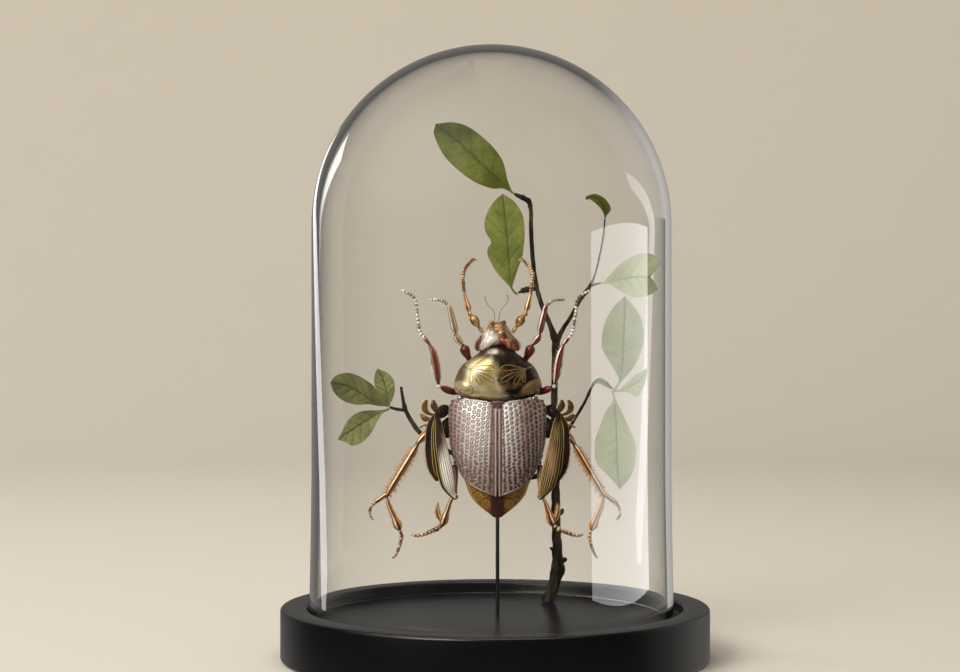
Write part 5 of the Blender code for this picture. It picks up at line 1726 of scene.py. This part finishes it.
leafForm = {
    "thickness": 0.35,
    "cup": 0.08,
    "veinWidth": 0.22,
    "veinDepth": 0.10,
    "ribWidth": 0.3,
    "ribDepth": 0.15,
    "swelling": 0.12,  # of the blade between two veins
    "stalkEnd": 0.75,  # how far the stalk runs on behind the blade
    "stalkPoints": 12,
    "stalkRadius": 0.34,
    "stalkTip": 0.06,
    "stalkSeat": 0.15,
}
leafMargin = (0.16, 0.15, 0.05)
leaves = {
    "leaf_top_left": {
        "first": [(6.3, 156.6), (2.9, 158.0), (-1.5, 158.1), (-8.6, 161.2), (-16.7, 168.2), (-20.8, 176.0),
                  (-20.4, 179.7)],
        "rib": [(6.3, 156.6), (3.2, 159.4), (-0.9, 163.2), (-6.7, 168.6), (-12.6, 174.0), (-17.8, 178.0),
                (-20.4, 179.7)],
        "second": [(6.3, 156.6), (4.6, 160.8), (2.8, 167.6), (-1.8, 173.6), (-8.6, 178.9), (-14.6, 180.6),
                   (-20.4, 179.9)],
        "depth": (21.6, 15.0, 1.0), "veins": 9, "tone": "dark"},
    "leaf_below_tip": {
        "first": [(7.8, 121.5), (6.4, 122.5), (5.2, 124.3), (0.9, 128.8), (-2.1, 134.3), (-2.3, 137.2),
                  (-1.2, 139.4), (-3.3, 143.6), (-2.9, 148.5), (-0.2, 153.4), (2.9, 156.2)],
        "rib": [(7.8, 121.5), (6.6, 122.6), (5.7, 124.3), (5.4, 128.0), (5.2, 132.0), (4.9, 135.6),
                (4.7, 138.4), (4.3, 143.0), (3.7, 148.2), (3.2, 153.0), (2.9, 156.2)],
        "second": [(7.8, 121.5), (6.8, 122.8), (6.3, 124.3), (7.9, 129.6), (9.6, 134.3), (10.1, 137.6),
                   (10.4, 140.8), (10.3, 145.6), (9.4, 149.6), (6.7, 153.6), (2.9, 156.2)],
        "depth": (23.4, 21.0, -2.0), "veins": 9, "tone": "fresh"},
    "leaf_curled": {
        "first": [(38.2, 147.7), (37.3, 149.6), (36.0, 151.3), (34.2, 152.7), (32.5, 153.7), (31.1, 153.4)],
        "rib": [(38.2, 147.7), (38.3, 150.2), (37.3, 152.2), (35.4, 153.8), (33.2, 154.6), (31.1, 153.7)],
        "second": [(38.2, 147.7), (40.1, 150.4), (39.0, 152.9), (36.9, 154.7), (34.2, 155.5), (31.3, 154.6)],
        "depth": (16.2, 11.0, 0.0), "veins": 5, "tone": "dark"},
    "leaf_notched": {
        "first": [(37.5, 125.4), (39.7, 127.7), (42.4, 130.8), (46.4, 133.6), (50.4, 134.8), (53.9, 133.8),
                  (55.3, 131.4)],
        "rib": [(37.5, 125.3), (39.8, 125.5), (42.4, 125.9), (45.4, 126.6), (48.2, 126.9), (50.2, 126.9),
                (51.8, 126.7)],
        "second": [(37.5, 125.2), (39.8, 124.5), (42.0, 123.0), (45.0, 121.0), (48.6, 120.0), (52.4, 120.9),
                   (54.8, 122.6)],
        "depth": (16.3, -3.0, 0.0), "veins": 6, "tone": "veined"},
    "leaf_right_upright": {
        "first": [(41.3, 88.8), (42.9, 91.6), (41.2, 95.6), (38.7, 99.5), (36.9, 103.0), (36.8, 107.3),
                  (38.2, 112.8), (41.2, 117.4), (44.3, 120.4)],
        "rib": [(41.3, 88.8), (43.2, 91.6), (44.0, 95.6), (44.3, 99.8), (44.4, 104.0), (44.5, 108.4),
                (44.6, 113.0), (44.5, 117.0), (44.3, 120.4)],
        "second": [(41.3, 88.8), (43.6, 91.5), (46.6, 94.6), (48.9, 98.0), (50.9, 102.8), (51.5, 107.6),
                   (50.6, 112.4), (47.9, 116.8), (44.3, 120.4)],
        "depth": (13.7, 9.0, 1.0), "veins": 9, "tone": "veined"},
    "leaf_right_small": {
        "first": [(41.1, 88.4), (43.4, 89.0), (45.9, 91.6), (48.2, 93.9), (50.2, 94.9), (51.6, 96.0)],
        "rib": [(41.1, 88.3), (43.4, 88.6), (45.8, 89.6), (48.2, 91.0), (50.2, 93.0), (51.6, 96.0)],
        "second": [(41.1, 88.2), (43.4, 88.0), (46.0, 87.8), (48.9, 86.5), (51.0, 90.4), (51.8, 94.4)],
        "depth": (14.45, 5.0, 0.0), "veins": 5, "tone": "veined"},
    "leaf_right_stub": {
        "first": [(35.2, 90.9), (36.1, 92.4), (37.8, 92.0), (39.1, 90.7), (40.2, 89.2)],
        "rib": [(35.2, 90.8), (36.2, 91.6), (37.8, 91.0), (39.0, 90.0), (40.2, 89.1)],
        "second": [(35.2, 90.7), (36.2, 90.8), (37.8, 89.9), (38.9, 89.3), (40.2, 89.0)],
        "depth": (16.6, 14.0, -0.6), "veins": 4, "tone": "dark"},
    "leaf_right_hanging": {
        "first": [(40.6, 88.2), (41.1, 86.2), (40.6, 84.2), (38.3, 81.2), (36.4, 76.6), (34.5, 71.6),
                  (34.3, 68.4), (34.9, 63.8), (38.4, 60.2), (42.7, 55.1)],
        "rib": [(40.7, 88.2), (41.3, 86.2), (41.6, 84.2), (41.8, 80.6), (42.0, 76.0), (42.1, 71.4),
                (42.1, 68.0), (42.1, 64.0), (42.3, 60.0), (42.7, 55.1)],
        "second": [(40.8, 88.2), (41.5, 86.2), (42.3, 84.2), (44.3, 80.2), (46.5, 75.2), (48.4, 70.8),
                   (48.6, 67.4), (48.1, 62.8), (46.2, 58.8), (42.7, 55.1)],
        "depth": (15.2, 9.0, 1.5), "veins": 9, "tone": "veined"},
    "leaf_left_long": {
        "first": [(-36.6, 83.0), (-39.6, 87.4), (-42.6, 90.7), (-46.2, 93.2), (-50.4, 94.5), (-54.4, 93.6),
                  (-56.3, 91.3)],
        "rib": [(-36.6, 83.0), (-39.4, 83.7), (-43.0, 85.5), (-46.6, 88.0), (-50.4, 89.9), (-53.6, 90.8),
                (-56.3, 91.3)],
        "second": [(-36.6, 83.0), (-39.6, 83.0), (-43.4, 83.7), (-47.8, 83.7), (-52.2, 85.2), (-55.2, 88.0),
                   (-56.3, 91.3)],
        "depth": (17.3, 6.0, 0.0), "veins": 8, "tone": "dusty"},
    "leaf_left_upper": {
        "first": [(-36.5, 83.2), (-39.2, 86.0), (-41.1, 89.2), (-41.7, 91.2), (-41.4, 94.2), (-40.5, 95.7)],
        "rib": [(-36.5, 83.2), (-37.0, 86.0), (-37.6, 88.8), (-38.4, 91.6), (-39.4, 94.0), (-40.5, 95.7)],
        "second": [(-36.5, 83.2), (-35.1, 85.8), (-34.5, 88.9), (-35.0, 91.9), (-36.9, 94.2), (-40.5, 95.7)],
        "depth": (18.2, 17.0, 0.5), "veins": 7, "tone": "dusty"},
    "leaf_left_lower": {
        "first": [(-36.6, 81.9), (-40.2, 81.5), (-43.4, 81.5), (-46.8, 81.0), (-49.6, 79.4), (-51.8, 76.4),
                  (-53.0, 73.8), (-54.1, 71.8)],
        "rib": [(-36.6, 81.9), (-39.4, 80.8), (-42.2, 79.2), (-45.2, 77.4), (-48.0, 75.6), (-50.6, 74.0),
                (-52.6, 72.8), (-54.1, 71.8)],
        "second": [(-36.6, 81.9), (-38.8, 80.4), (-40.3, 78.0), (-42.2, 74.4), (-45.2, 71.0), (-48.7, 69.7),
                   (-51.6, 71.0), (-54.1, 71.8)],
        "depth": (17.6, 11.0, 0.0), "veins": 8, "tone": "dusty"},
}
greens = {  # the two tones of the blade, and the tone of its veins
    "dark": ((0.08, 0.10, 0.009), (0.20, 0.23, 0.024), (0.035, 0.045, 0.006)),
    "fresh": ((0.12, 0.15, 0.024), (0.265, 0.30, 0.062), (0.05, 0.065, 0.012)),
    "dusty": ((0.16, 0.175, 0.064), (0.33, 0.35, 0.13), (0.05, 0.06, 0.016)),
    "veined": ((0.22, 0.25, 0.10), (0.33, 0.36, 0.16), (0.06, 0.07, 0.025)),
}


def leafPaint(tone):
    low, high, veinColour = greens[tone]
    paint = Paint(tone + " leaf")
    patch = paint.noise(120, 4)
    cell = paint.cells(900)
    vein = paint.mark("vein")
    green = paint.mixed(patch.stepped(0.3, 0.75), low, high)
    netted = paint.mixed(cell.stepped(0.35, 0.7) * 0.4, green, low)
    veined = paint.mixed(vein * 0.45, netted, veinColour)
    ribbed = paint.mixed(paint.mark("rib") * 0.8, veined, veinColour)
    margin = paint.mixed(paint.mark("margin") * 0.5, ribbed, leafMargin)
    return paint.surface(baseColor=margin, roughness=0.55 + 0.2 * patch, specularIORLevel=0.3,
                         normal=paint.bumped(cell * 0.3 + patch * 0.3 - vein * 0.5, 0.35, 0.0003))


def buildLeaf(node, first, rib, second, depth, veins, tone):
    rows = range(len(rib))
    lines = [SmoothLine(points, rows) for points in (first, rib, second)]
    rootDepth, tipDepth, bow = depth
    seed = random.Random(node)
    ruffles = [(seed.uniform(2, 5), seed.uniform(0, 2 * math.pi), seed.uniform(0.15, 0.3)) for _ in range(2)]
    length = SmoothLine(rib, measured=2).length

    def depthAt(v):
        return rootDepth + (tipDepth - rootDepth) * v + bow * np.sin(math.pi * v)

    def place(u, v):
        side = u * 2 - 1
        reach = np.abs(side)
        a, middle, b = (line.share(v) for line in lines)
        margin = np.where((side < 0)[:, None], a, b)
        flat = middle + (margin - middle) * reach[:, None]
        half = np.hypot(*(margin - middle).T)
        y = depthAt(v) - leafForm["cup"] * half * reach * (2 - reach)
        for rate, phase, size in ruffles:
            y += size * reach**2 * np.sin(rate * 2 * math.pi * v + phase + side) * np.minimum(half / 4, 1)
        walk = v * veins - reach * 1.15 + 0.25 * (side > 0)  # whole on each side vein
        nearest = np.abs(walk - np.round(walk)) * length / veins
        vein = hump(nearest, 0, leafForm["veinWidth"]) * (1 - 0.6 * reach)
        vein *= between(0.06, 0.14, v) * (half > 0.5)
        midrib = hump(reach * half, 0, leafForm["ribWidth"])
        y += leafForm["veinDepth"] * vein + leafForm["ribDepth"] * midrib
        y -= leafForm["swelling"] * np.sin(math.pi * (walk % 1)) * (1 - reach) * (half > 1)
        marks = {"vein": vein, "rib": midrib, "margin": between(0.94, 1, reach)}
        return np.stack([flat[:, 0], y, flat[:, 1]], 1), marks

    blade = gridPiece(node, 44, 100, place)
    withModifier(blade, "SOLIDIFY", thickness=leafForm["thickness"] * mm, offset=0)
    spine = []
    for t in np.linspace(0, leafForm["stalkEnd"], leafForm["stalkPoints"]):
        x, z = lines[1].share(t)
        radius = leafForm["stalkRadius"] * (1 - t) ** 1.5 + leafForm["stalkTip"]
        spine.append((x, depthAt(t) + leafForm["stalkSeat"], z, radius))
    stalk = tube("stalk", spine, sides=8, detail=3)
    piece = joined(node, [painted(blade, leafPaints[tone]), painted(stalk, leafPaints[tone])])
    dress(smoothShaded(piece, 50), node + "_blade", "leaf", node)


leafPaints = {tone: leafPaint(tone) for tone in greens}
for node, leaf in leaves.items():
    buildLeaf(node, **leaf)
print("the leaves are built")
